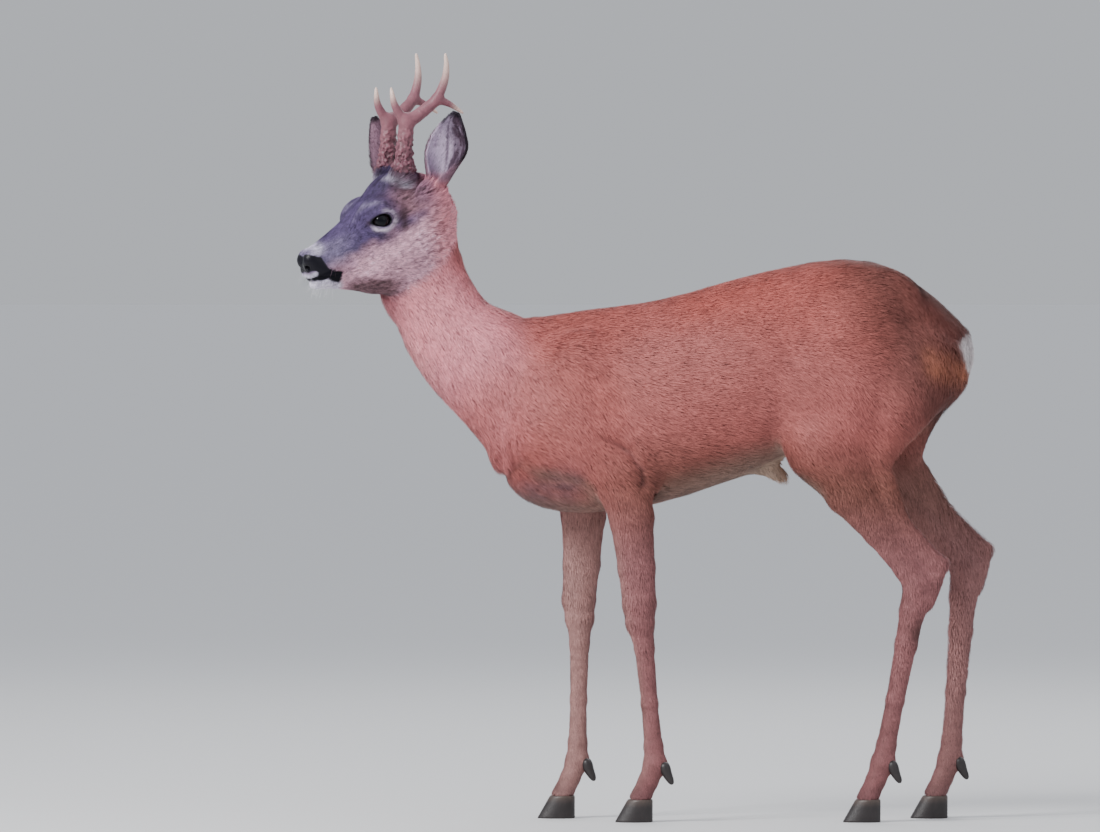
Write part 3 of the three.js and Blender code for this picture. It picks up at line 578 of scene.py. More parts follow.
def evaluate(field, p):
    """The field at many points, in lots that fit in memory."""
    lot = 400000
    return np.concatenate([field(p[i : i + lot]) for i in range(0, len(p), lot)])


def corner_cuts(shape):
    """Slices that pick each of the 8 corners of every cell of a grid."""
    for i in range(8):
        yield tuple(slice(i >> k & 1, n - 1 + (i >> k & 1)) for k, n in enumerate(shape))


def net(field, lines):
    """Surface net of a field over a grid of uneven lines: points on the surface and quads facing outward."""
    coarse = 4
    shape = tuple(len(line) for line in lines)
    picks = [np.unique(np.append(np.arange(0, n, coarse), n - 1)) for n in shape]
    # A coarse reading finds the blocks near the surface, and only they are read in full.
    corners = np.stack(np.meshgrid(*[line[pick] for line, pick in zip(lines, picks)], indexing="ij"), axis=-1)
    rough = evaluate(field, corners.reshape(-1, 3)).reshape(corners.shape[:3])
    nearest = [np.searchsorted(pick, np.arange(n), side="right") - 1 for pick, n in zip(picks, shape)]
    values = rough[np.ix_(*nearest)].astype(np.float32)
    low = np.minimum.reduce([np.abs(rough[cut]) for cut in corner_cuts(rough.shape)])
    steps = [np.diff(line[pick]) for line, pick in zip(lines, picks)]
    spans = np.meshgrid(*steps, indexing="ij", sparse=True)
    wanted = np.zeros(shape, bool)
    for block in np.argwhere(low < np.sqrt(sum(np.square(span) for span in spans)) * 1.15):
        wanted[tuple(slice(pick[n], pick[n + 1] + 1) for pick, n in zip(picks, block))] = True
    index = np.argwhere(wanted)
    values[wanted] = evaluate(field, np.stack([lines[k][index[:, k]] for k in range(3)], axis=1))

    inside = values < 0
    total = sum(inside[cut].astype(np.int8) for cut in corner_cuts(shape))
    cells = np.argwhere((total > 0) & (total < 8))
    number = np.full(total.shape, -1, np.int64)
    number[tuple(cells.T)] = np.arange(len(cells))
    sums, counts = np.zeros((len(cells), 3)), np.zeros(len(cells))
    quads = []
    for k in range(3):
        others = [j for j in range(3) if j != k]
        ends = tuple(slice(0, -1) if j == k else slice(None) for j in range(3))
        starts = tuple(slice(1, None) if j == k else slice(None) for j in range(3))
        crossed = np.argwhere(inside[ends] != inside[starts])
        after = crossed.copy()
        after[:, k] += 1
        one, two = values[tuple(crossed.T)], values[tuple(after.T)]
        share = one / (one - two)
        place = np.stack([lines[j][crossed[:, j]] for j in range(3)], axis=1)
        place[:, k] += share * (lines[k][after[:, k]] - lines[k][crossed[:, k]])
        around = []
        for back in ((0, 0), (1, 0), (1, 1), (0, 1)):
            cell = crossed.copy()
            cell[:, others] -= back
            around.append(cell)
        good = np.all([np.all((c >= 0) & (c < np.array(total.shape)), axis=1) for c in around], axis=0)
        quad = np.stack([number[tuple(c[good].T)] for c in around], axis=1)
        for c in range(4):
            np.add.at(sums, quad[:, c], place[good])
            np.add.at(counts, quad[:, c], 1)
        flip = (one[good] < 0) == (k == 1)
        quad[flip] = quad[flip][:, ::-1]
        quads.append(quad)
    points = sums / np.maximum(counts, 1)[:, None]
    for _ in range(3):
        points = onto(field, points, 1.5)
    return points, np.concatenate(quads)


def grid_round(points, margin, cell):
    """Grid lines over the box round some points."""
    low, high = points.min(axis=0) - margin, points.max(axis=0) + margin
    return [axis((start, end, cell)) for start, end in zip(low, high)]


def slope(field, p):
    """The field's gradient and its value, from the corners of a small tetrahedron."""
    h = 0.4
    d = [evaluate(field, p + h * np.array(k)) for k in ((1, -1, -1), (-1, -1, 1), (-1, 1, -1), (1, 1, 1))]
    x = d[0] - d[1] - d[2] + d[3]
    y = -d[0] - d[1] + d[2] + d[3]
    z = -d[0] + d[1] - d[2] + d[3]
    return np.stack([x, y, z], axis=1) / (4 * h), sum(d) / 4


def onto(field, p, limit):
    """Moves points onto the surface, each by no more than the limit."""
    gradient, value = slope(field, p)
    steep = np.maximum(np.einsum("ij,ij->i", gradient, gradient), 0.1)
    return p - gradient * np.clip(value / steep, -limit, limit)[:, None]


def relax(points, quads, normal):
    """Evens the spacing of points within the surface."""
    sums, counts = np.zeros_like(points), np.zeros(len(points))
    for i in range(4):
        np.add.at(sums, quads[:, i], points[quads[:, (i + 1) % 4]] + points[quads[:, i - 1]])
        np.add.at(counts, quads[:, i], 2)
    move = (sums / np.maximum(counts, 1)[:, None] - points) * 0.5
    return points + move - normal * np.einsum("ij,ij->i", move, normal)[:, None]


def vertex_normals(points, quads):
    cross = np.cross(points[quads[:, 2]] - points[quads[:, 0]], points[quads[:, 3]] - points[quads[:, 1]])
    normal = np.zeros_like(points)
    for i in range(quads.shape[1]):
        np.add.at(normal, quads[:, i], cross)
    return unit(normal)


# ---------------------------------------------------------------- meshes
def make_mesh(name, points, faces, finish, colours, wet=None):
    """A piece from points in millimetres and faces: quads, or corner indices with the faces' sizes."""
    loops, sizes = faces if isinstance(faces, tuple) else (faces.ravel(), np.full(len(faces), 4))
    mesh = bpy.data.meshes.new(name)
    mesh.vertices.add(len(points))
    mesh.vertices.foreach_set("co", to_frame(points).astype(np.float32).ravel())
    mesh.loops.add(len(loops))
    mesh.loops.foreach_set("vertex_index", np.asarray(loops, np.int32))
    mesh.polygons.add(len(sizes))
    starts = np.concatenate([[0], np.cumsum(sizes)[:-1]]).astype(np.int32)
    mesh.polygons.foreach_set("loop_start", starts)
    mesh.polygons.foreach_set("loop_total", np.asarray(sizes, np.int32))
    mesh.polygons.foreach_set("use_smooth", np.full(len(sizes), True))
    layer = mesh.attributes.new("Coat", "FLOAT_COLOR", "POINT")
    rgba = np.ones((len(points), 4), np.float32)
    rgba[:, :3] = colours
    layer.data.foreach_set("color", rgba.ravel())
    if wet is not None:
        layer = mesh.attributes.new("Wet", "FLOAT", "POINT")
        layer.data.foreach_set("value", wet.astype(np.float32))
    mesh.update(calc_edges=True)
    mesh.materials.append(finish)
    piece = bpy.data.objects.new(name, mesh)
    bpy.context.scene.collection.objects.link(piece)
    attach(piece, "root")
    return piece


def loft(rings):
    """Faces over rings of points, with a fan at each end."""
    rings = np.array(rings)
    count, around = rings.shape[:2]
    points = np.concatenate([rings.reshape(-1, 3), rings[0].mean(axis=0)[None], rings[-1].mean(axis=0)[None]])
    loops, sizes = [], []
    for i in range(count - 1):
        for j in range(around):
            k = (j + 1) % around
            loops += [i * around + j, i * around + k, (i + 1) * around + k, (i + 1) * around + j]
            sizes.append(4)
    for end, ring in ((count * around, 0), (count * around + 1, count - 1)):
        for j in range(around):
            pair = [ring * around + (j + 1) % around, ring * around + j]
            loops += [end, *(pair if ring == 0 else pair[::-1])]
            sizes.append(3)
    return points, (np.array(loops), np.array(sizes))


def material(name, **looks):
    """A new material with constant numbers on its shader's own sockets."""
    made = bpy.data.materials.new(name)
    made.use_nodes = True
    shader = made.node_tree.nodes["Principled BSDF"]
    for key, value in looks.items():
        shader.inputs[key.replace("_", " ")].default_value = value
    return made, made.node_tree, shader


def new(tree, kind, **values):
    """A new node, with values for its settings or its sockets."""
    node = tree.nodes.new(kind)
    for key, value in values.items():
        if hasattr(node, key):
            setattr(node, key, value)
        else:
            node.inputs[key.replace("_", " ")].default_value = value
    return node


def srgb(r, g, b):
    c = np.array([r, g, b]) / 255
    return np.where(c < 0.04045, c / 12.92, ((c + 0.055) / 1.055) ** 2.4)


def grained_material(name, grain_scale, relief=None, **looks):
    """A material in the mesh's own colours, with a fine grain and, given its strength and depth, relief."""
    made, tree, shader = material(name, **looks)
    link = tree.links.new
    colour = new(tree, "ShaderNodeAttribute", attribute_name="Coat")
    place = new(tree, "ShaderNodeTexCoord")
    grain = new(tree, "ShaderNodeTexNoise", Scale=grain_scale, Detail=4.0, Roughness=0.6)
    link(place.outputs["Object"], grain.inputs["Vector"])
    tone = new(tree, "ShaderNodeMapRange", To_Min=0.78, To_Max=1.22)
    link(grain.outputs["Fac"], tone.inputs["Value"])
    shade = new(tree, "ShaderNodeVectorMath", operation="SCALE")
    link(colour.outputs["Color"], shade.inputs[0])
    link(tone.outputs["Result"], shade.inputs["Scale"])
    link(shade.outputs["Vector"], shader.inputs["Base Color"])
    if relief:
        bump = new(tree, "ShaderNodeBump", Strength=relief[0], Distance=relief[1])
        link(grain.outputs["Fac"], bump.inputs["Height"])
        link(bump.outputs["Normal"], shader.inputs["Normal"])
    return made, tree, shader


# ---------------------------------------------------------------- markings, shared by skin and coat
# Numbers of the regions of the body, with the first of the two ears and of the four legs.
TRUNK_REGION, NECK_REGION, HEAD_REGION, EAR_REGION, LEG_REGION = 0, 1, 2, 3, 5


def region_fields(p):
    """How far points lie from each region of the body, in the order of the regions' numbers."""
    ears = [ear_field(p, ear_frame) - 2.5 for ear_frame in EAR_FRAMES]
    legs = [leg_field(p, leg) for leg in LEGS]
    return np.stack([trunk_field(p), neck_field(p), head_field(p), *ears, *legs], axis=1)


def on_head(fields, low, high):
    """1 on the head and 0 on the rest of the body, smooth between."""
    body = np.minimum(fields[:, TRUNK_REGION], fields[:, NECK_REGION])
    return step(body - fields[:, HEAD_REGION], low, high)


def paint(c, *layers):
    """Lays colours over each other at each point, each as thick as its share says."""
    for colour, share in layers:
        c = c + (colour - c) * np.clip(share, 0, 1)[:, None]
    return c


BACK = srgb(176, 92, 84)
SIDE = srgb(170, 98, 93)
# Painted shade: the lower flank is painted darker, standing in for its shade.
LOW_FLANK_SHADE = srgb(124, 78, 68)
# Painted shade: thigh and rump are painted darker towards the rear.
HAUNCH_SHADE = srgb(102, 64, 58)
# The underside's own less red tone, painted darker as its shade.
BELLY_TONE_AND_SHADE = srgb(140, 112, 100)
NECK_COAT = srgb(220, 141, 149)
NECK_PALE = srgb(216, 162, 162)
NECK_BASE = srgb(190, 114, 114)
# Painted shade: a dark band under the breast.
BREAST_SHADE = srgb(104, 84, 92)
BRUSH = srgb(196, 170, 150)
LEG_COAT = srgb(148, 98, 98)
LEG_PALE = srgb(176, 138, 130)
FACE_GREY = srgb(86, 72, 108)
BROW_DARK = srgb(50, 40, 60)
TEMPLE = srgb(142, 102, 108)
CHEEK = srgb(212, 164, 180)
# Painted shade under the jaw.
JAW_SHADE = srgb(70, 48, 48)
PALE = srgb(220, 212, 232)
BLACK = srgb(12, 10, 20)
# Dark coat; also used as painted shade in the fold behind the elbow.
DARK_COAT_AND_SHADE = srgb(70, 50, 56)
RUMP = srgb(226, 216, 216)
FRINGE = srgb(192, 120, 92)
EAR_BACK = srgb(150, 116, 134)
EAR_INSIDE = srgb(200, 180, 206)
EAR_SHADE = srgb(66, 44, 60)
GLAND = srgb(86, 58, 56)
# Edges of the black muzzle on the side of the head: back edge as (up, along), under edge as (along, up).
MUZZLE_BACK = [
    (-40, 160), (-28, 163), (-21, 175), (-13, 181), (-5, 182), (2, 183), (9, 192), (17, 199), (24, 210),
]
MUZZLE_UNDER = [(163, -27), (173, -39), (180, -35), (187, -28), (199, -24), (207, -21)]


def body_colours(p, normal, fields):
    """The colours of trunk, neck and legs."""
    x, y, z = p.T
    s, _, t = neck_coords(p)
    neck = paint(
        NECK_COAT,
        (NECK_BASE, step(s, 120, 210)),
        (BACK, 0.75 * step(t, 5, 60)),
        (NECK_PALE, 0.5 * step(t, -60, -95) * step(s, 190, 60)),
    )
    streak = 1 + 0.5 * noise(p * np.array([0.4, 1, 1]), 7, 17)
    # Painted shade: a dark band along the lower breast in front of the forelegs, broken into streaks.
    breast_shade = 0.5 * streak * bell(z, 440 + 0.25 * (x + 120), 24) * step(x, -60, -95) * step(x, -200, -165)
    # Painted shade along the fold behind each elbow.
    fold = 0.3 * bell(elbow_fold(p), 0, 4) * step(z, 425, 450) * step(z, 520, 500)
    ragged = x + 4 * noise(p, 8, 18)
    patch = np.hypot(y / 37, (z - 616 - 0.15 * np.abs(y)) / 26) + 0.14 * noise(p, 7, 26)
    leg, fore = step(z, 455, 330), x < 150
    facing_in = -np.sign(y) * normal[:, 1]
    gland = bell(x, 371, 14) * bell(z, 254, 17) * step(-normal[:, 1], 0.0, 0.5)
    return paint(
        SIDE,
        (BACK, step(z, 600, 700) + 0.3 * noise(p, 60, 1)),
        # Painted shade: the haunch grows darker towards the rear, more so higher up.
        (HAUNCH_SHADE, 0.85 * step(x + 0.5 * (z - 600), 250, 380)),
        # Painted shade on the lower flank, from behind the shoulder back.
        (LOW_FLANK_SHADE, step(z, 540, 430) * step(x, -120, 40)),
        # Faces turned downward get the underside's own tone, darkened as painted shade.
        (BELLY_TONE_AND_SHADE, step(-normal[:, 2], 0.45, 0.9) * step(z, 560, 500)),
        (neck, step(fields[:, TRUNK_REGION] - fields[:, NECK_REGION] + 8 * noise(p, 30, 16), -30, 36)),
        (BREAST_SHADE, breast_shade),
        (DARK_COAT_AND_SHADE, fold),
        (BRUSH, 0.8 * bell(x, 182, 44) * step(z, 492, 466) * step(np.abs(y), 34, 20)),
        (FRINGE, 0.55 * streak * step(ragged, 362, 390) * bell(z, 606 - 0.3 * (x - 395), 17)),
        (RUMP, step(ragged, 412, 422) * step(patch, 1.12, 0.84)),
        (LEG_COAT, leg),
        (LEG_PALE, np.where(fore, 0.6, 0.3) * step(z, 520, 440) * step(facing_in, 0.1, 0.8)),
        (LEG_PALE, 0.3 * leg * fore * step(-normal[:, 0], 0.3, 0.9)),
        (DARK_COAT_AND_SHADE, 0.3 * step(z, 62, 36)),
        (GLAND, 0.85 * gland),
    )


def face_colours(p, a, b, w):
    """The colours of the head, but for the rings round the eyes and the black muzzle."""
    under_jaw = b + 58 + 0.36 * (122 - a)
    tuft = 1 + 0.8 * noise(p, 4, 19)
    return paint(
        FACE_GREY,
        (CHEEK, step(b - 0.10 * (120 - a) + 7 * noise(p, 11, 4), 2, -30)),
        (NECK_COAT, 0.75 * step(a + 0.25 * b, 48, 12)),
        (TEMPLE, 0.8 * bell(a, 50, 24) * step(b, -6, 8) * step(w + 4 * noise(p, 10, 27), 12, 34)),
        # Painted shade along the underside of the jaw, back from the corner of the mouth.
        (JAW_SHADE, 0.8 * step(under_jaw + 5 * noise(p, 9, 21), 9, -4) * step(a, 84, 116) * step(a, 168, 154)),
        (BROW_DARK, 0.65 * step(b, 32, 46) * bell(a, 50, 28)),
        (PALE, 0.12 * step(a, 120, 165) * step(b, 20, 8) * step(b, -24, -10)),
        (PALE, step(b, -27, -31) * step(a, 166, 176) + step(b, -10, -14) * step(a, 184, 188)),
        (PALE, 0.8 * bell(a, 184, 9) * step(b, 2, 12)),
        (PALE, 0.36 * tuft * bell(a - 0.78 * (b - 38), 44.5, 5) * step(b, 33, 40) * step(w, 6, 12)),
    )


def eye_rings(c, a, b, w, head):
    """Lays the pale rings and dark lines round the eyes over the colours of the head."""
    ex, ey = lid_coords(a, b)
    sides = head * step(w, 20, 26)
    under = bell(np.hypot(ex / 17.5, ey / 12), 1.0, 0.2) * step(ey, 0, -4) * step(ex, 19, 11)
    over = bell(np.hypot((ex + 3) / 15.5, ey / 13), 1.0, 0.22) * step(ex, 6, -4)
    arc = bell(np.hypot(ex / 33, ey / 23), 1.0, 0.09)
    return paint(
        c,
        (CHEEK * 0.25 + PALE * 0.75, sides * np.clip(0.9 * under + 0.45 * over, 0, 0.9)),
        (PALE, 0.14 * head * step(w, 14, 20) * arc * step(ex, -8, 8) * step(ey, -4, 6)),
        (DARK_COAT_AND_SHADE, 0.8 * sides * bell(a + 0.3 * b, 66, 7) * step(b, -17, -9) * step(b, 34, 6)),
        (DARK_COAT_AND_SHADE, 0.75 * sides * bell(ex, 17.5, 4.5) * bell(ey, -2, 3)),
    )


def ear_colours(c, p, near, ear_frame):
    """Lays an ear's colours over c: grey-brown back, pale hollow with painted shade in mottled darker
    streaks, and black rim.
    """
    es, turn, roll, _, _, inner = ear_coords(p, ear_frame)
    on = step(near, 3, 0) * step(es, 0.05, 0.2)
    around = turn / roll
    rear_rim = step(around, 0.84, 0.97) * step(es, 0.3, 0.5)
    front_rim = step(-around, 0.84, 0.97) * step(es, 0.72, 0.85)
    rim = np.clip(rear_rim + front_rim + step(es, 0.9, 0.98), 0, 1)
    mottle = 1 + 0.6 * noise(p * np.array([1, 1, 0.5]), 5, 15)
    # Painted shade in the hollow: darker towards its rear edge and tip, mottled, with a darker line at the
    # shade's edge.
    shade = mottle * step(around + 0.9 * es, 0.2, 0.5) + 0.8 * bell(around + 0.9 * es, 0.15, 0.06)
    inside = paint(EAR_INSIDE, (EAR_SHADE, np.clip(shade, 0, 0.92)))
    return paint(c, (np.where(inner[:, None], inside, EAR_BACK), on), (BLACK, 0.9 * on * rim))


def markings(p, normal, fields):
    """The coat's colour at points of the skin, and where the skin is bare and wet."""
    a, v, b = head_coords(p)
    w = np.abs(v)
    head = on_head(fields, -6, 6)
    c = paint(body_colours(p, normal, fields), (face_colours(p, a, b, w), head))
    c = eye_rings(c, a, b, w, head)
    c = paint(c, (BLACK, head * black_muzzle(a + noise(p, 3, 20), b + noise(p, 3, 22), w)))
    for i, ear_frame in enumerate(EAR_FRAMES):
        c = ear_colours(c, p, fields[:, EAR_REGION + i], ear_frame)
    c = c * (1 + 0.08 * noise(p, 9, 2) + 0.07 * noise(p, 30, 3))[:, None]
    # Bare skin: nose pad and the rims of the lids
    pad = nose_pad(a, v, b) * head
    lids = step(almond(a, b), 2.4, 0.6) * step(w, 32, 36) * step(np.abs(lid_coords(a, b)[0]), 24, 20) * head
    wet = np.clip(pad + lids, 0, 1)
    return np.clip(paint(c, (BLACK, wet)), 0.002, 0.95), wet


def black_muzzle(a, b, w):
    """The black of the nose and lips: back along the upper lip to the spot at the corner of the mouth."""
    back = a - np.interp(b, *zip(*MUZZLE_BACK)) - 0.25 * (18 - w) * (b > 0)
    under = b - np.interp(a, *zip(*MUZZLE_UNDER))
    lip = np.hypot((a - 202) / 5.5, (b + 14) / 4.5) - 1
    return step(np.minimum(np.minimum(back, under), 4 * lip), -0.9, 0.9)


def nose_pad(a, v, b):
    """The bare wet pad round the nostrils."""
    return black_muzzle(a, b, np.abs(v)) * step(b, -19, -16) * step(a, 179, 181.5)


# ---------------------------------------------------------------- one skin over the whole body
SKIN, skin_tree, skin_shader = grained_material("skin", 900.0, (0.35, 0.001), Specular_IOR_Level=0.22)
wetness = new(skin_tree, "ShaderNodeAttribute", attribute_name="Wet")
rough = new(skin_tree, "ShaderNodeMapRange", To_Min=0.75, To_Max=0.3)
skin_tree.links.new(wetness.outputs["Fac"], rough.inputs["Value"])
skin_tree.links.new(rough.outputs["Result"], skin_shader.inputs["Roughness"])

HEAD_CELL = 1.6
lines = [
    axis((-472, -213, HEAD_CELL), (-213, 492, 5)),
    axis((-146, 134, 2.2)),
    axis((26, 130, 3.5), (130, 690, 5), (690, 946, HEAD_CELL)),
]
skin_points, skin_quads = net(skin_field, lines)
skin_normals = vertex_normals(skin_points, skin_quads)
for _ in range(2):
    skin_points = relax(skin_points, skin_quads, skin_normals)
    skin_points = onto(skin_field, skin_points, 1.0)
skin_normals = vertex_normals(skin_points, skin_quads)
skin_parts = region_fields(skin_points)
skin_colours, skin_wet = markings(skin_points, skin_normals, skin_parts)
skin = make_mesh("skin", skin_points, skin_quads, SKIN, skin_colours, skin_wet)
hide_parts("head", "nose", "ear_left", "ear_right", "neck", "trunk", "tail")
for leg in LEGS:
    for part in ("forearm" if "elbow" in leg else "gaskin", "cannon", "pastern"):
        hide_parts(f"{leg['name']}_{part}")


# ---------------------------------------------------------------- the coat
def unwrap(p, region):
    """A place in the unit square for each point: every region of the body is rolled out in its own frame."""
    x, y, z = p.T
    a, v, b = head_coords(p)
    s, _, t = neck_coords(p)
    u, w = np.zeros(len(p)), np.zeros(len(p))

    def put(mask, along, start, end, turn, left, bottom, width, height):
        share = np.clip((along - start) / (end - start), 0, 1)
        u[mask] = (left + width * share)[mask]
        w[mask] = (bottom + height * (np.clip(turn, -np.pi, np.pi) / (2 * np.pi) + 0.5))[mask]

    put(region == TRUNK_REGION, x, -190, 470, np.arctan2(y, z - 560), 0.01, 0.01, 0.56, 0.44)
    put(region == NECK_REGION, s, -40, 300, np.arctan2(y, t + 25), 0.01, 0.47, 0.34, 0.34)
    put(region == HEAD_REGION, a, -30, 225, np.arctan2(v, b + 20), 0.37, 0.47, 0.40, 0.36)
    for i, ear_frame in enumerate(EAR_FRAMES):
        es, turn, _, _, _, inner = ear_coords(p, ear_frame)
        sheet = np.where(inner, turn / 2 + np.pi / 2, turn / 2 - np.pi / 2)
        put(region == EAR_REGION + i, es, 0, 1, sheet, 0.01 + 0.18 * i, 0.83, 0.16, 0.16)
    for i, leg in enumerate(LEGS):
        turn = np.arctan2(y - leg["side"] * 55, x - leg_middle(z, leg))
        put(region == LEG_REGION + i, z, 20, 680, turn, 0.59, 0.01 + 0.112 * i, 0.40, 0.108)
    return np.stack([u, w], axis=1)


def leg_middle(z, leg):
    """The x of a leg's middle at each height."""
    stations = foreleg_stations(leg) if "elbow" in leg else hindleg_stations(leg)
    rows = np.array([(s[2], s[0]) for s in stations])[::-1]
    return np.interp(z, rows[:, 0], rows[:, 1])


def lie(p, normal, region, fields):
    """The way the hair lies: back along the body, down the limbs, from nose to poll and up the ears."""
    x, y, z = p.T
    a, _, b = head_coords(p)
    way = np.tile(np.array([1.0, 0, -0.22]), (len(p), 1))

    def turn_to(direction, share):
        return way * (1 - share[:, None]) + np.array(direction) * share[:, None]

    way = turn_to((0.05, 0, -1.0), step(x, 310, 420))
    shoulder = bell(x, -60, 70) * step(z, 640, 560) + bell(x, 285, 80) * step(z, 640, 540)
    way = way + np.array([-0.35, 0, -0.75]) * shoulder[:, None]
    brush = bell(x, 176, 34) * step(z, 478, 462) * (np.abs(y) < 26)
    way = way + np.array([0, 0, -1.4]) * brush[:, None]
    way = turn_to((0.16, 0, -1.0), step(z, 470, 400) * (region >= LEG_REGION))
    neck = step(fields[:, TRUNK_REGION] - fields[:, NECK_REGION], -30, 30)
    way = turn_to(NECK_DIRECTION + np.array([0, 0, -0.12]), neck)
    face = -HEAD_ALONG + step(b, -5, -50)[:, None] * np.array([0.1, 0, -0.35])
    way = turn_to(face, on_head(fields, -8, 12))
    # Round the eye the hair parts above and below it.
    da, db = a - EYE_PLACE[0], b - EYE_PLACE[2]
    near = (region == HEAD_REGION) & (np.hypot(da, db) < 34)
    turn = (np.sign(db) * bell(np.hypot(da, db), 16, 12) * np.clip(da / 14, -1, 1))[near]
    way[near] += turn[:, None] * HEAD_UP * 0.7
    for i, ear_frame in enumerate(EAR_FRAMES):
        ear = region == EAR_REGION + i
        _, turn, _, _, _, inner = ear_coords(p[ear], ear_frame)
        outward = np.where(inner, -0.35, 0.25) * np.sign(turn)
        side = np.cos(turn)[:, None] * ear_frame[3] + np.sin(turn)[:, None] * ear_frame[2]
        way[ear] = ear_frame[1] + outward[:, None] * side
    way = way - normal * np.einsum("ij,ij->i", way, normal)[:, None]
    return unit(way)


# Tufts per square millimetre, and their length, width and rise of the tip in millimetres. Below
# that, the kind of each region, in the order of the regions' numbers.
TUFTS = {
    "trunk": (0.46, 14.0, 1.2, 2.6),
    "neck": (0.62, 12.5, 1.1, 3.0),
    "head": (1.2, 6.5, 0.75, 1.3),
    "ear": (1.1, 6.5, 0.7, 0.9),
    "leg": (0.58, 9.5, 1.0, 1.4),
}
KINDS = ["trunk", "neck", "head", "ear", "ear", "leg", "leg", "leg", "leg"]


def tuft_sizes(p, region):
    """Density, length, width and rise of the tufts at each point."""
    x, y, z = p.T
    a, v, b = head_coords(p)
    sizes = np.array([TUFTS[kind] for kind in KINDS])[region]
    head, leg = region == HEAD_REGION, region >= LEG_REGION
    upper_leg = step(z, 360, 470) * leg
    sizes = sizes + (np.array(TUFTS["trunk"]) - sizes) * upper_leg[:, None]
    from_eye = np.hypot(a - EYE_PLACE[0], b - EYE_PLACE[2])
    from_burr = np.hypot(a - ANTLER["burr"][0], np.abs(v) - ANTLER["burr"][1])
    belly = (region == TRUNK_REGION) * bell(x, 168, 40) * bell(z, 452, 14) * (np.abs(y) < 22)
    ears = []
    for i, ear_frame in enumerate(EAR_FRAMES):
        ears.append((region == EAR_REGION + i) * step(ear_coords(p, ear_frame)[0], 0.6, 0.92))
    # Where each stretch of the coat lies, and by what share its four sizes grow there.
    changes = [
        (leg * step(z, 230, 60), (1.3, -0.45, -0.42, -0.45)),  # feet
        (head * step(a, 70, 175), (0.5, -0.52, -0.3, -0.55)),  # muzzle
        (head * step(a, 55, 5), (-0.45, 0.9, 0.6, 1.0)),  # back of the head
        (head * bell(from_eye, 10, 12), (0, -0.5, 0, -0.5)),
        ((region == NECK_REGION) * step(neck_coords(p)[2], -50, -90), (0, 0.25, 0, 0.4)),  # throat
        (belly, (0, 0.35, 0, 0)),
        *((tip, (0, -0.6, 0, 0)) for tip in ears),
        (step(x, 422, 434) * step(z, 580, 600), (0, -0.45, 0, -0.3)),  # tail
        (step(x, 385, 420) * step(z, 660, 630) * ~head, (0, 0, 0, 1.4)),  # seat
        (head * bell(from_burr, 16, 7) * (b > 20), (0, 0.8, 0, 2.2)),  # collar round the antlers
    ]
    for where, change in changes:
        sizes = sizes * (1 + where[:, None] * np.array(change))
    return sizes.T


def bare(p):
    """1 where no hair grows: nose pad, lids, antler feet and hooves."""
    a, v, b = head_coords(p)
    w = np.abs(v)
    none = nose_pad(a, v, b) > 0.3
    none |= (almond(a, b) < 1.6) & (w > 33) & (np.abs(a - EYE_PLACE[0]) < 24)
    comma = np.hypot(np.hypot((a - 203) / 7.5, (w - 11.5) / 5.2), (b + 3.5) / 5.4)
    none |= comma < 1
    burr = ANTLER["burr"]
    none |= (np.hypot(a - burr[0], w - burr[1]) < 10) & (b > 30)
    none |= p[:, 2] < HOOF["height"] + 0.8
    mouth = -18 - 10.5 * step(a, 202, 168)
    none |= (np.abs(b - mouth) < 1.3) & (a > 168) & (w < 30)
    return none


# The roots are scattered over the skin, evenly for the density that each place asks for.
triangles = np.concatenate([skin_quads[:, [0, 1, 2]], skin_quads[:, [0, 2, 3]]])
corner = skin_points[triangles]
area = np.linalg.norm(np.cross(corner[:, 1] - corner[:, 0], corner[:, 2] - corner[:, 0]), axis=1) / 2
region = np.argmin(skin_parts, axis=1)[triangles[:, 0]]
density = tuft_sizes(corner.mean(axis=1), region)[0] * 1.0
weights = np.cumsum(area * density)
total = int(weights[-1])
pick = np.searchsorted(weights, (np.arange(total) + rng.random(total)) / total * weights[-1])
pick = np.minimum(pick, len(triangles) - 1)
one, two = rng.random(total), rng.random(total)
fold = one + two > 1
one[fold], two[fold] = 1 - one[fold], 1 - two[fold]
shares = np.stack([1 - one - two, one, two], axis=1)[:, :, None]
root = (corner[pick] * shares).sum(axis=1)
root_normal = unit((skin_normals[triangles[pick]] * shares).sum(axis=1))
root_colour = (skin_colours[triangles[pick]] * shares).sum(axis=1)
root_fields = (skin_parts[triangles[pick]] * shares).sum(axis=1)
keep = ~bare(root)
root, root_normal, root_colour, root_fields = (k[keep] for k in (root, root_normal, root_colour, root_fields))
region = region[pick][keep]
total = len(root)

# Each tuft is a blade: a broad foot in the skin, a middle and a tip, along the lie of the coat.
_, length, width, rise = tuft_sizes(root, region)
way = lie(root, root_normal, region, root_fields)
swirl = 0.16 * noise(root, 30, 5) + 0.12 * noise(root, 10, 6) + rng.normal(0, 0.10, total)
way = unit(way + np.cross(root_normal, way) * swirl[:, None])
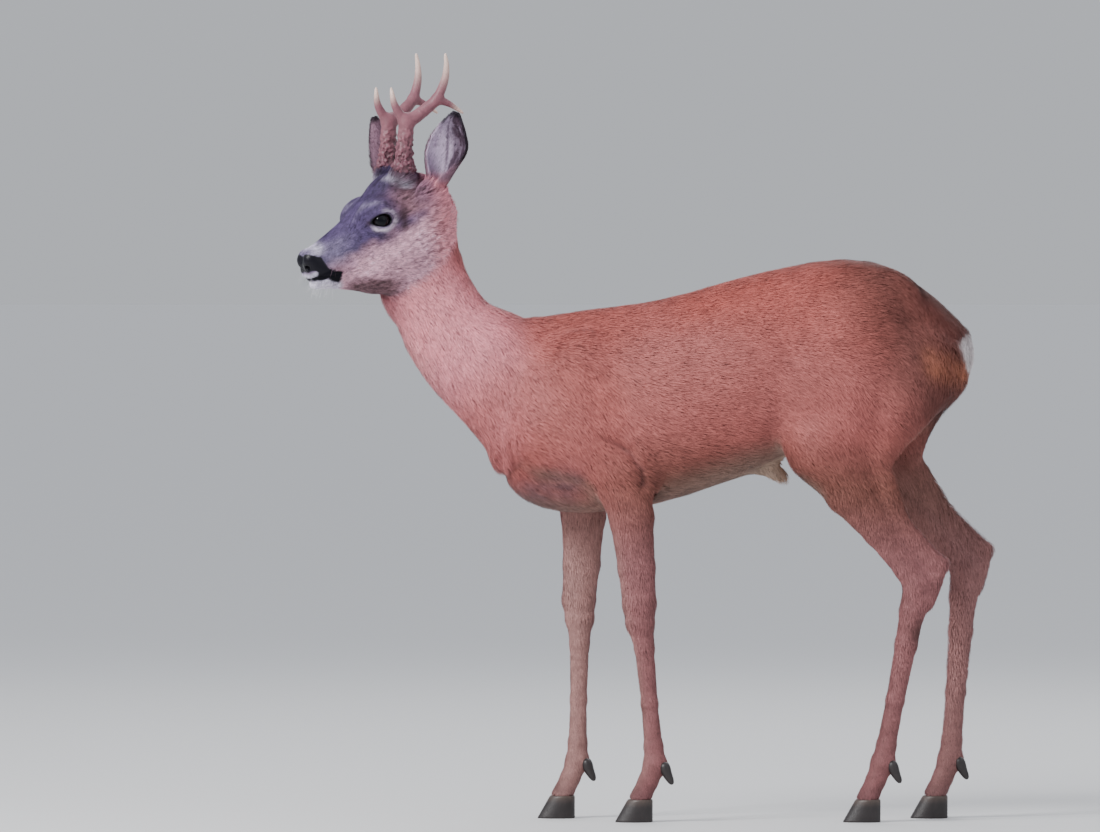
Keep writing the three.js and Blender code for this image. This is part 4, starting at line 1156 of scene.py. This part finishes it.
# This draw isn't used; it keeps the draws after it the same.
rng.normal(0, 0.28, total)
head = region == HEAD_REGION
along_head, across_head, up_head = head_coords(root)
grain = head * noise(np.stack([along_head * 0.4, across_head, up_head], axis=1), 2.3, 12)
whisker = head & (along_head > 172) & (up_head < -12) & (rng.random(total) < 0.018)
forward = unit(HEAD_ALONG * 0.5 + np.array([0, 0, -0.5]))
way[whisker] = unit(0.7 * root_normal[whisker] + forward + rng.normal(0, 0.2, (whisker.sum(), 3)))
across = np.cross(root_normal, way)
length = np.where(whisker, rng.uniform(9, 20, total), length * rng.uniform(0.7, 1.2, total))
width = np.where(whisker, 0.4, width)
clump = 1 + 0.22 * noise(root, 12, 8) + 0.35 * grain
lift = rise * clump * rng.uniform(0.55, 1.15, total)
half = (width * rng.uniform(0.7, 1.15, total) / 2)[:, None]
foot = root - root_normal * 0.4
middle = root + way * (length * 0.5)[:, None] + root_normal * (lift * 0.85)[:, None]
end = root + way * length[:, None] + root_normal * (lift * rng.uniform(0.75, 1.15, total))[:, None]
side = across * half
upper_side = side * 0.8
blades = np.stack([foot - side, foot + side, middle + upper_side, middle - upper_side, end], axis=1)

# The blades are lighter at the tip, and vary in tone from tuft to tuft, with dark flecks.
tone = 1 + rng.normal(0.0, 0.12, total) * (1 + 1.2 * head)
tone = tone + 0.08 * noise(root, 14, 9) + 0.10 * noise(root * np.array([0.3, 1, 1]), 3.5, 10)
tone += 0.52 * grain + head * 0.06 * noise(root, 5.5, 13)
flecked = (region == NECK_REGION) | (~head & (root[:, 0] < 40) & (root[:, 2] > 440))
fleck = rng.random(total) < np.where(flecked, 0.07 + 0.06 * noise(root, 10, 11), 0.012)
tone = np.where(fleck, tone * 0.45, tone)
tone = np.where(whisker, 1.5, np.maximum(tone, 0.15))
BLADE_SHADES = np.array([0.72, 0.72, 1.0, 1.0, 1.16])
blade_colours = root_colour[:, None, :] * tone[:, None, None] * BLADE_SHADES[None, :, None]
blade_colours = np.clip(blade_colours, 0.002, 0.95)

FUR, _, _ = grained_material("fur", 350.0, Roughness=0.6, Specular_IOR_Level=0.16)
PATCH = 0.003
blade_patch = np.array([(0, 0), (1, 0), (0.9, 0.5), (0.1, 0.5), (0.5, 1)]) * PATCH - PATCH / 2
blade_places = unwrap(root, region)[:, None, :] + blade_patch[None]
near_side = root[:, 1] < 0
PIECES = {
    "coat_trunk_left": (region == TRUNK_REGION) & near_side,
    "coat_trunk_right": (region == TRUNK_REGION) & ~near_side,
    "coat_neck": region == NECK_REGION,
    "coat_head_left": head & (across_head >= 0),
    "coat_head_right": head & (across_head < 0),
    "coat_ears": (region >= EAR_REGION) & (region < LEG_REGION),
    **{f"coat_{leg['name']}": region == LEG_REGION + i for i, leg in enumerate(LEGS)},
}
BLADE_CORNERS = np.array([0, 1, 2, 3, 3, 2, 4])
MOST_TUFTS = 66000
for name, mask in PIECES.items():
    chosen = np.flatnonzero(mask)
    count = len(chosen)
    if count > MOST_TUFTS:
        raise ValueError(f"{name} has {count} tufts")
    loops = (np.arange(count)[:, None] * 5 + BLADE_CORNERS).ravel()
    faces = (loops, np.tile([4, 3], count))
    piece = make_mesh(name, blades[chosen].reshape(-1, 3), faces, FUR, blade_colours[chosen].reshape(-1, 3))
    layer = piece.data.uv_layers.new(name="OFBake")
    uv = blade_places[chosen][:, BLADE_CORNERS].reshape(-1, 2)
    layer.data.foreach_set("uv", uv.astype(np.float32).ravel())


# ---------------------------------------------------------------- eyes
EYE_FINISH, eye_tree, eye_shader = material("eye", Roughness=0.05, IOR=1.38, Specular_IOR_Level=0.3)
eye_colour = new(eye_tree, "ShaderNodeAttribute", attribute_name="Coat")
eye_tree.links.new(eye_colour.outputs["Color"], eye_shader.inputs["Base Color"])
PUPIL = srgb(4, 4, 10)
IRIS = srgb(12, 9, 15)
WHITE_OF_EYE = srgb(30, 22, 24)


def eyeball(name, hand):
    """A ball with a clear bulging front, a dark iris and a level oval pupil."""
    centre = head_point(EYE_PLACE[0], hand * EYE_PLACE[1], EYE_PLACE[2])
    out = unit(HEAD_ACROSS * hand * 0.97 + HEAD_ALONG * 0.16 + HEAD_UP * 0.06)
    level = unit(HEAD_ALONG - out * (HEAD_ALONG @ out))
    up = np.cross(out, level) * hand
    turns = np.linspace(0, 2 * math.pi, 48, endpoint=False)
    side = np.cos(turns)[:, None] * level + np.sin(turns)[:, None] * up
    streak = 1 + 0.25 * np.sin(turns * 31) * np.sin(turns * 17 + 1)
    rings, colours = [], []
    for theta in np.linspace(0.02, 0.98, 40) * math.pi:
        reach = EYE_RADIUS + 0.75 * math.exp(-((theta / 0.62) ** 4))
        rings.append(centre + reach * (math.cos(theta) * out + math.sin(theta) * side))
        flat = EYE_RADIUS * math.sin(theta)
        front = theta < math.pi / 2
        iris = step(np.full(len(turns), flat), 9.6, 8.6) * front
        pupil = np.hypot(np.cos(turns) * flat / 5.4, np.sin(turns) * flat / 3.9)
        colour = paint(WHITE_OF_EYE, (IRIS, iris)) * streak[:, None]
        colours.append(paint(colour, (PUPIL, step(pupil, 1.12, 0.92) * front)))
    points, (loops, sizes) = loft(rings)
    colours = np.concatenate([*colours, PUPIL[None], WHITE_OF_EYE[None]])
    if hand > 0:
        loops = np.concatenate([part[::-1] for part in np.split(loops, np.cumsum(sizes)[:-1])])
    ball = make_mesh(name, points, (loops, sizes), EYE_FINISH, colours)
    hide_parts(name.removesuffix("_ball"))


eyeball("eye_left_ball", 1)
eyeball("eye_right_ball", -1)


# ---------------------------------------------------------------- antlers
def curve(points, count):
    """A smooth curve through points, with count steps between each pair."""
    points = np.array(points, float)
    ends = np.concatenate([2 * points[:1] - points[1:2], points, 2 * points[-1:] - points[-2:-1]])
    t = (np.arange(count) / count)[:, None]
    made = []
    for i in range(len(points) - 1):
        p0, p1, p2, p3 = ends[i : i + 4]
        bend, twist = 2 * p0 - 5 * p1 + 4 * p2 - p3, 3 * p1 - p0 - 3 * p2 + p3
        made.append(0.5 * (2 * p1 + (p2 - p0) * t + bend * t**2 + twist * t**3))
    return np.concatenate([*made, points[-1:]])


def tube(q, line, radii):
    """Distance to a tube along a line, and how far along it the nearest place is."""
    best, closest = np.full(len(q), 1e3), np.full(len(q), 1e3)
    share = np.zeros(len(q))
    for i in range(len(line) - 1):
        span = line[i + 1] - line[i]
        h = np.clip((q - line[i]) @ span / (span @ span), 0, 1)
        d = np.linalg.norm(q - line[i] - h[:, None] * span, axis=1) - radii[i] - (radii[i + 1] - radii[i]) * h
        near = d < closest
        closest[near] = d[near]
        share[near] = (i + h[near]) / (len(line) - 1)
        best = blend(best, d, 2.0)
    return best, share


def taper(line, start):
    share = np.linspace(0, 1, len(line)) ** 1.3
    return start + (ANTLER["tip_radius"] - start) * share


BURR, FORK = np.array(ANTLER["burr"], float), np.array(ANTLER["fork"], float)
BEAM_LINE = curve([BURR + (BURR - FORK) * 0.12, (BURR + FORK) / 2, FORK], 8)
TOP_LINE = curve([FORK + (BURR - FORK) * 0.08, *ANTLER["top"]], 8)
FRONT_LINE = curve([FORK + (BURR - FORK) * 0.1, *ANTLER["front"]], 8)
REAR_LINE = curve([ANTLER["top"][1], *ANTLER["rear"]], 8)


def antler_parts(p, hand):
    """The beam's field and the share along it, the tines' fields and shares, and the pearls."""
    q = np.stack(head_coords(p), axis=1) * np.array([1, hand, 1])
    length = np.linspace(0, 1, len(BEAM_LINE))
    shaft = ANTLER["beam_radius"] + (ANTLER["fork_radius"] - ANTLER["beam_radius"]) * length
    beam, s = tube(q, BEAM_LINE, shaft)
    coronet = (ANTLER["burr_radius"] - 11.5) * bell(s, 0.12, 0.1)
    rough = step(s, 1.0, 0.25)
    pearls = np.maximum(noise(q, 2.9, 21) + 0.5 * noise(q, 6, 24), -0.45) * (0.35 + 2.4 * rough)
    grooves = 0.35 * noise(q * np.array([1, 1, 0.16]), 2.6, 22)
    beam = beam - coronet * (1 + 0.3 * noise(q, 5.0, 23)) - pearls - grooves * (1 - 0.5 * rough)
    top, top_share = tube(q, TOP_LINE, taper(TOP_LINE, ANTLER["fork_radius"] * 0.92))
    front, front_share = tube(q, FRONT_LINE, taper(FRONT_LINE, ANTLER["tine_radius"]))
    rear, rear_share = tube(q, REAR_LINE, taper(REAR_LINE, ANTLER["tine_radius"] * 0.8))
    tines = np.stack([top - grooves * (1 - top_share), front, rear])
    shares = np.stack([top_share, front_share, rear_share])
    return beam, s, tines, shares, pearls


def antler_field(hand):
    def field(p):
        d, _, tines, _, _ = antler_parts(p, hand)
        for tine in tines:
            d = blend(d, tine, 5)
        return d

    return field


ANTLER_FINISH, _, _ = grained_material("antler", 700.0, (0.3, 0.0006), Roughness=0.5)
ANTLER_DARK = srgb(86, 46, 58)
ANTLER_SHAFT = srgb(130, 80, 90)
ANTLER_TIP = srgb(228, 198, 184)
ANTLER_CELL = 1.1
for name, hand in (("antler_left", 1), ("antler_right", -1)):
    controls = [BURR - 14, *ANTLER["front"], *ANTLER["top"], *ANTLER["rear"], BURR + 4]
    spots = np.array([head_point(c[0], hand * c[1], c[2]) for c in controls])
    points, quads = net(antler_field(hand), grid_round(spots, 20, ANTLER_CELL))
    beam, s, tines, shares, pearls = antler_parts(points, hand)
    nearest = np.argmin(tines, axis=0)
    tip = shares[nearest, np.arange(len(points))] * (tines.min(axis=0) < beam)
    dark = 0.9 * step(s, 0.95, 0.1) * (tip < 0.05)
    colours = paint(ANTLER_SHAFT, (ANTLER_DARK, dark), (ANTLER_TIP, step(tip, 0.45, 0.95)))
    colours = colours * (1 + 0.34 * np.clip(pearls, -1.1, 1.1) + 0.08 * noise(points, 8, 25))[:, None]
    antler = make_mesh(name, points, quads, ANTLER_FINISH, colours)
    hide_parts(*(f"{name}_{part}" for part in ("beam", "top", "front_tine", "rear_tine")))


# ---------------------------------------------------------------- hooves and dewclaws
HORN, _, _ = grained_material("horn", 500.0, (0.4, 0.0008), Roughness=0.42)
HORN_DARK = srgb(40, 34, 34)
HORN_PALE = srgb(92, 76, 68)
# Levels of a claw's rings, as shares of its height, and how far each ring is pinched in.
CLAW_LEVELS = [(0, 0.965), (0.025, 0.99), (0.07, 1.0)]
CLAW_LEVELS += [(level, 1.0) for level in np.linspace(0.15, 0.9, 11)]
CLAW_LEVELS += [(0.96, 0.985), (1, 0.95)]


def claw(x, foot, hand):
    """A claw of a cloven hoof: rings from the sole up to the coronet."""
    turn = np.linspace(0, 2 * math.pi, 36, endpoint=False)
    along = (1 - np.cos(turn)) / 2
    swell = np.maximum(np.sin(turn), 0) ** 0.8 * (1 - 0.35 * along**3)
    bulge = np.where(np.sin(turn) > 0, swell, 0.12 * np.sin(turn))
    rings = []
    for level, pinch in CLAW_LEVELS:
        length = HOOF["length"] * (1 - 0.34 * level)
        ridge = 1 - 0.012 * (0.5 + 0.5 * math.cos(level * 44)) * (0.05 < level < 0.95)
        width = HOOF["width"] * (1 - 0.05 * level) * pinch * ridge
        back = x + 19 - length * (1 - pinch * ridge) / 2
        ring = np.zeros((len(turn), 3))
        ring[:, 0] = back - along * length * pinch * ridge
        ring[:, 1] = foot + hand * (HOOF["cleft"] + (0.14 + bulge * 0.86) * width)
        ring[:, 2] = (HOOF["height"] - 0.15) * level
        rings.append(ring if hand > 0 else ring[::-1])
    return loft(rings)


def make_claw(name, x, foot, hand):
    points, faces = claw(x, foot, hand)
    colours = paint(HORN_DARK, (HORN_PALE, 0.6 * step(points[:, 2], 18, 30)))
    colours = colours * (1 + 0.25 * noise(points * np.array([1, 1, 0.3]), 2.5, 31))[:, None]
    return make_mesh(f"{name}_claw", points, faces, HORN, colours)


def make_dewclaw(name, base, hand):
    line = curve([base + (-3, 0, 9), base, base + (6, hand * 2, -11.5)], 5)
    radii = 6.4 + (3.2 - 6.4) * np.linspace(0, 1, len(line)) ** 2
    points, quads = net(lambda q: tube(q, line, radii)[0], grid_round(line, 10, 1.6))
    colours = np.tile(HORN_DARK, (len(points), 1)) * (1 + 0.25 * noise(points, 2.5, 32))[:, None]
    return make_mesh(f"{name}_dewclaw", points, quads, HORN, colours)


for leg in LEGS:
    name, side, (x, z) = leg["name"], leg["side"], leg["fetlock"]
    foot = side * FOOT_Y
    for which, hand in (("inner", -side), ("outer", side)):
        hoof = make_claw(f"{name}_{which}", x - 22, foot, hand)
        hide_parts(f"{name}_hoof_{which}")
        dewclaw = make_dewclaw(f"{name}_{which}", np.array([x + 15.5, foot + hand * 10, z - 12]), hand)
        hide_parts(f"{name}_dewclaw_{which}")


# ---------------------------------------------------------------- camera, floor and light
def look(name, data, place, target):
    """Puts a camera or lamp at a place, facing its target."""
    made = bpy.data.objects.new(name, data)
    bpy.context.scene.collection.objects.link(made)
    made.location = place
    made.rotation_mode = "QUATERNION"
    made.rotation_quaternion = (Vector(target) - Vector(place)).to_track_quat("-Z", "Y")
    return made


camera_data = bpy.data.cameras.new("camera")
camera_data.lens = 448
camera_data.sensor_width = 36
camera_data.clip_end = 100
VIEW_CENTRE = to_frame(np.array([-112.0, 0.0, 532.0]))
bpy.context.scene.camera = look("camera", camera_data, (VIEW_CENTRE[0], -18.0, 0.95), VIEW_CENTRE)

FLOOR_HALF = 45
floor_mesh = bpy.data.meshes.new("floor")
corners = [(x * FLOOR_HALF, y * FLOOR_HALF, 0) for x, y in ((-1, -1), (1, -1), (1, 1), (-1, 1))]
floor_mesh.from_pydata(corners, [], [(0, 1, 2, 3)])
floor = bpy.data.objects.new("floor", floor_mesh)
bpy.context.scene.collection.objects.link(floor)
floor_finish, _, _ = material("floor", Base_Color=(0.66, 0.655, 0.65, 1), Roughness=0.85)
floor_mesh.materials.append(floor_finish)

# Soft light from all round, stronger from overhead, with one large lamp at the left and two weaker ones.
world = bpy.data.worlds.new("studio")
world.use_nodes = True
sky = world.node_tree
direction = new(sky, "ShaderNodeTexCoord")
parts = new(sky, "ShaderNodeSeparateXYZ")
ramp = new(sky, "ShaderNodeValToRGB")
sky.links.new(direction.outputs["Generated"], parts.inputs["Vector"])
sky.links.new(parts.outputs["Z"], ramp.inputs["Fac"])
sky.links.new(ramp.outputs["Color"], sky.nodes["Background"].inputs["Color"])
ramp.color_ramp.elements[0].color = (0.572, 0.592, 0.632, 1)
ramp.color_ramp.elements[1].color = (1.0, 1.05, 1.15, 1)
sky.nodes["Background"].inputs["Strength"].default_value = 0.92
bpy.context.scene.world = world
for name, place, size, power in (
    ("key", (-3.0, -2.6, 3.2), 1.8, 250),
    ("fill", (2.8, -2.4, 2.2), 2.4, 14),
    ("back", (0.8, 3.0, 3.2), 2.4, 50),
):
    lamp = bpy.data.lights.new(name, "AREA")
    lamp.size = size
    lamp.energy = power
    look(name, lamp, place, (0, 0, 0.55))
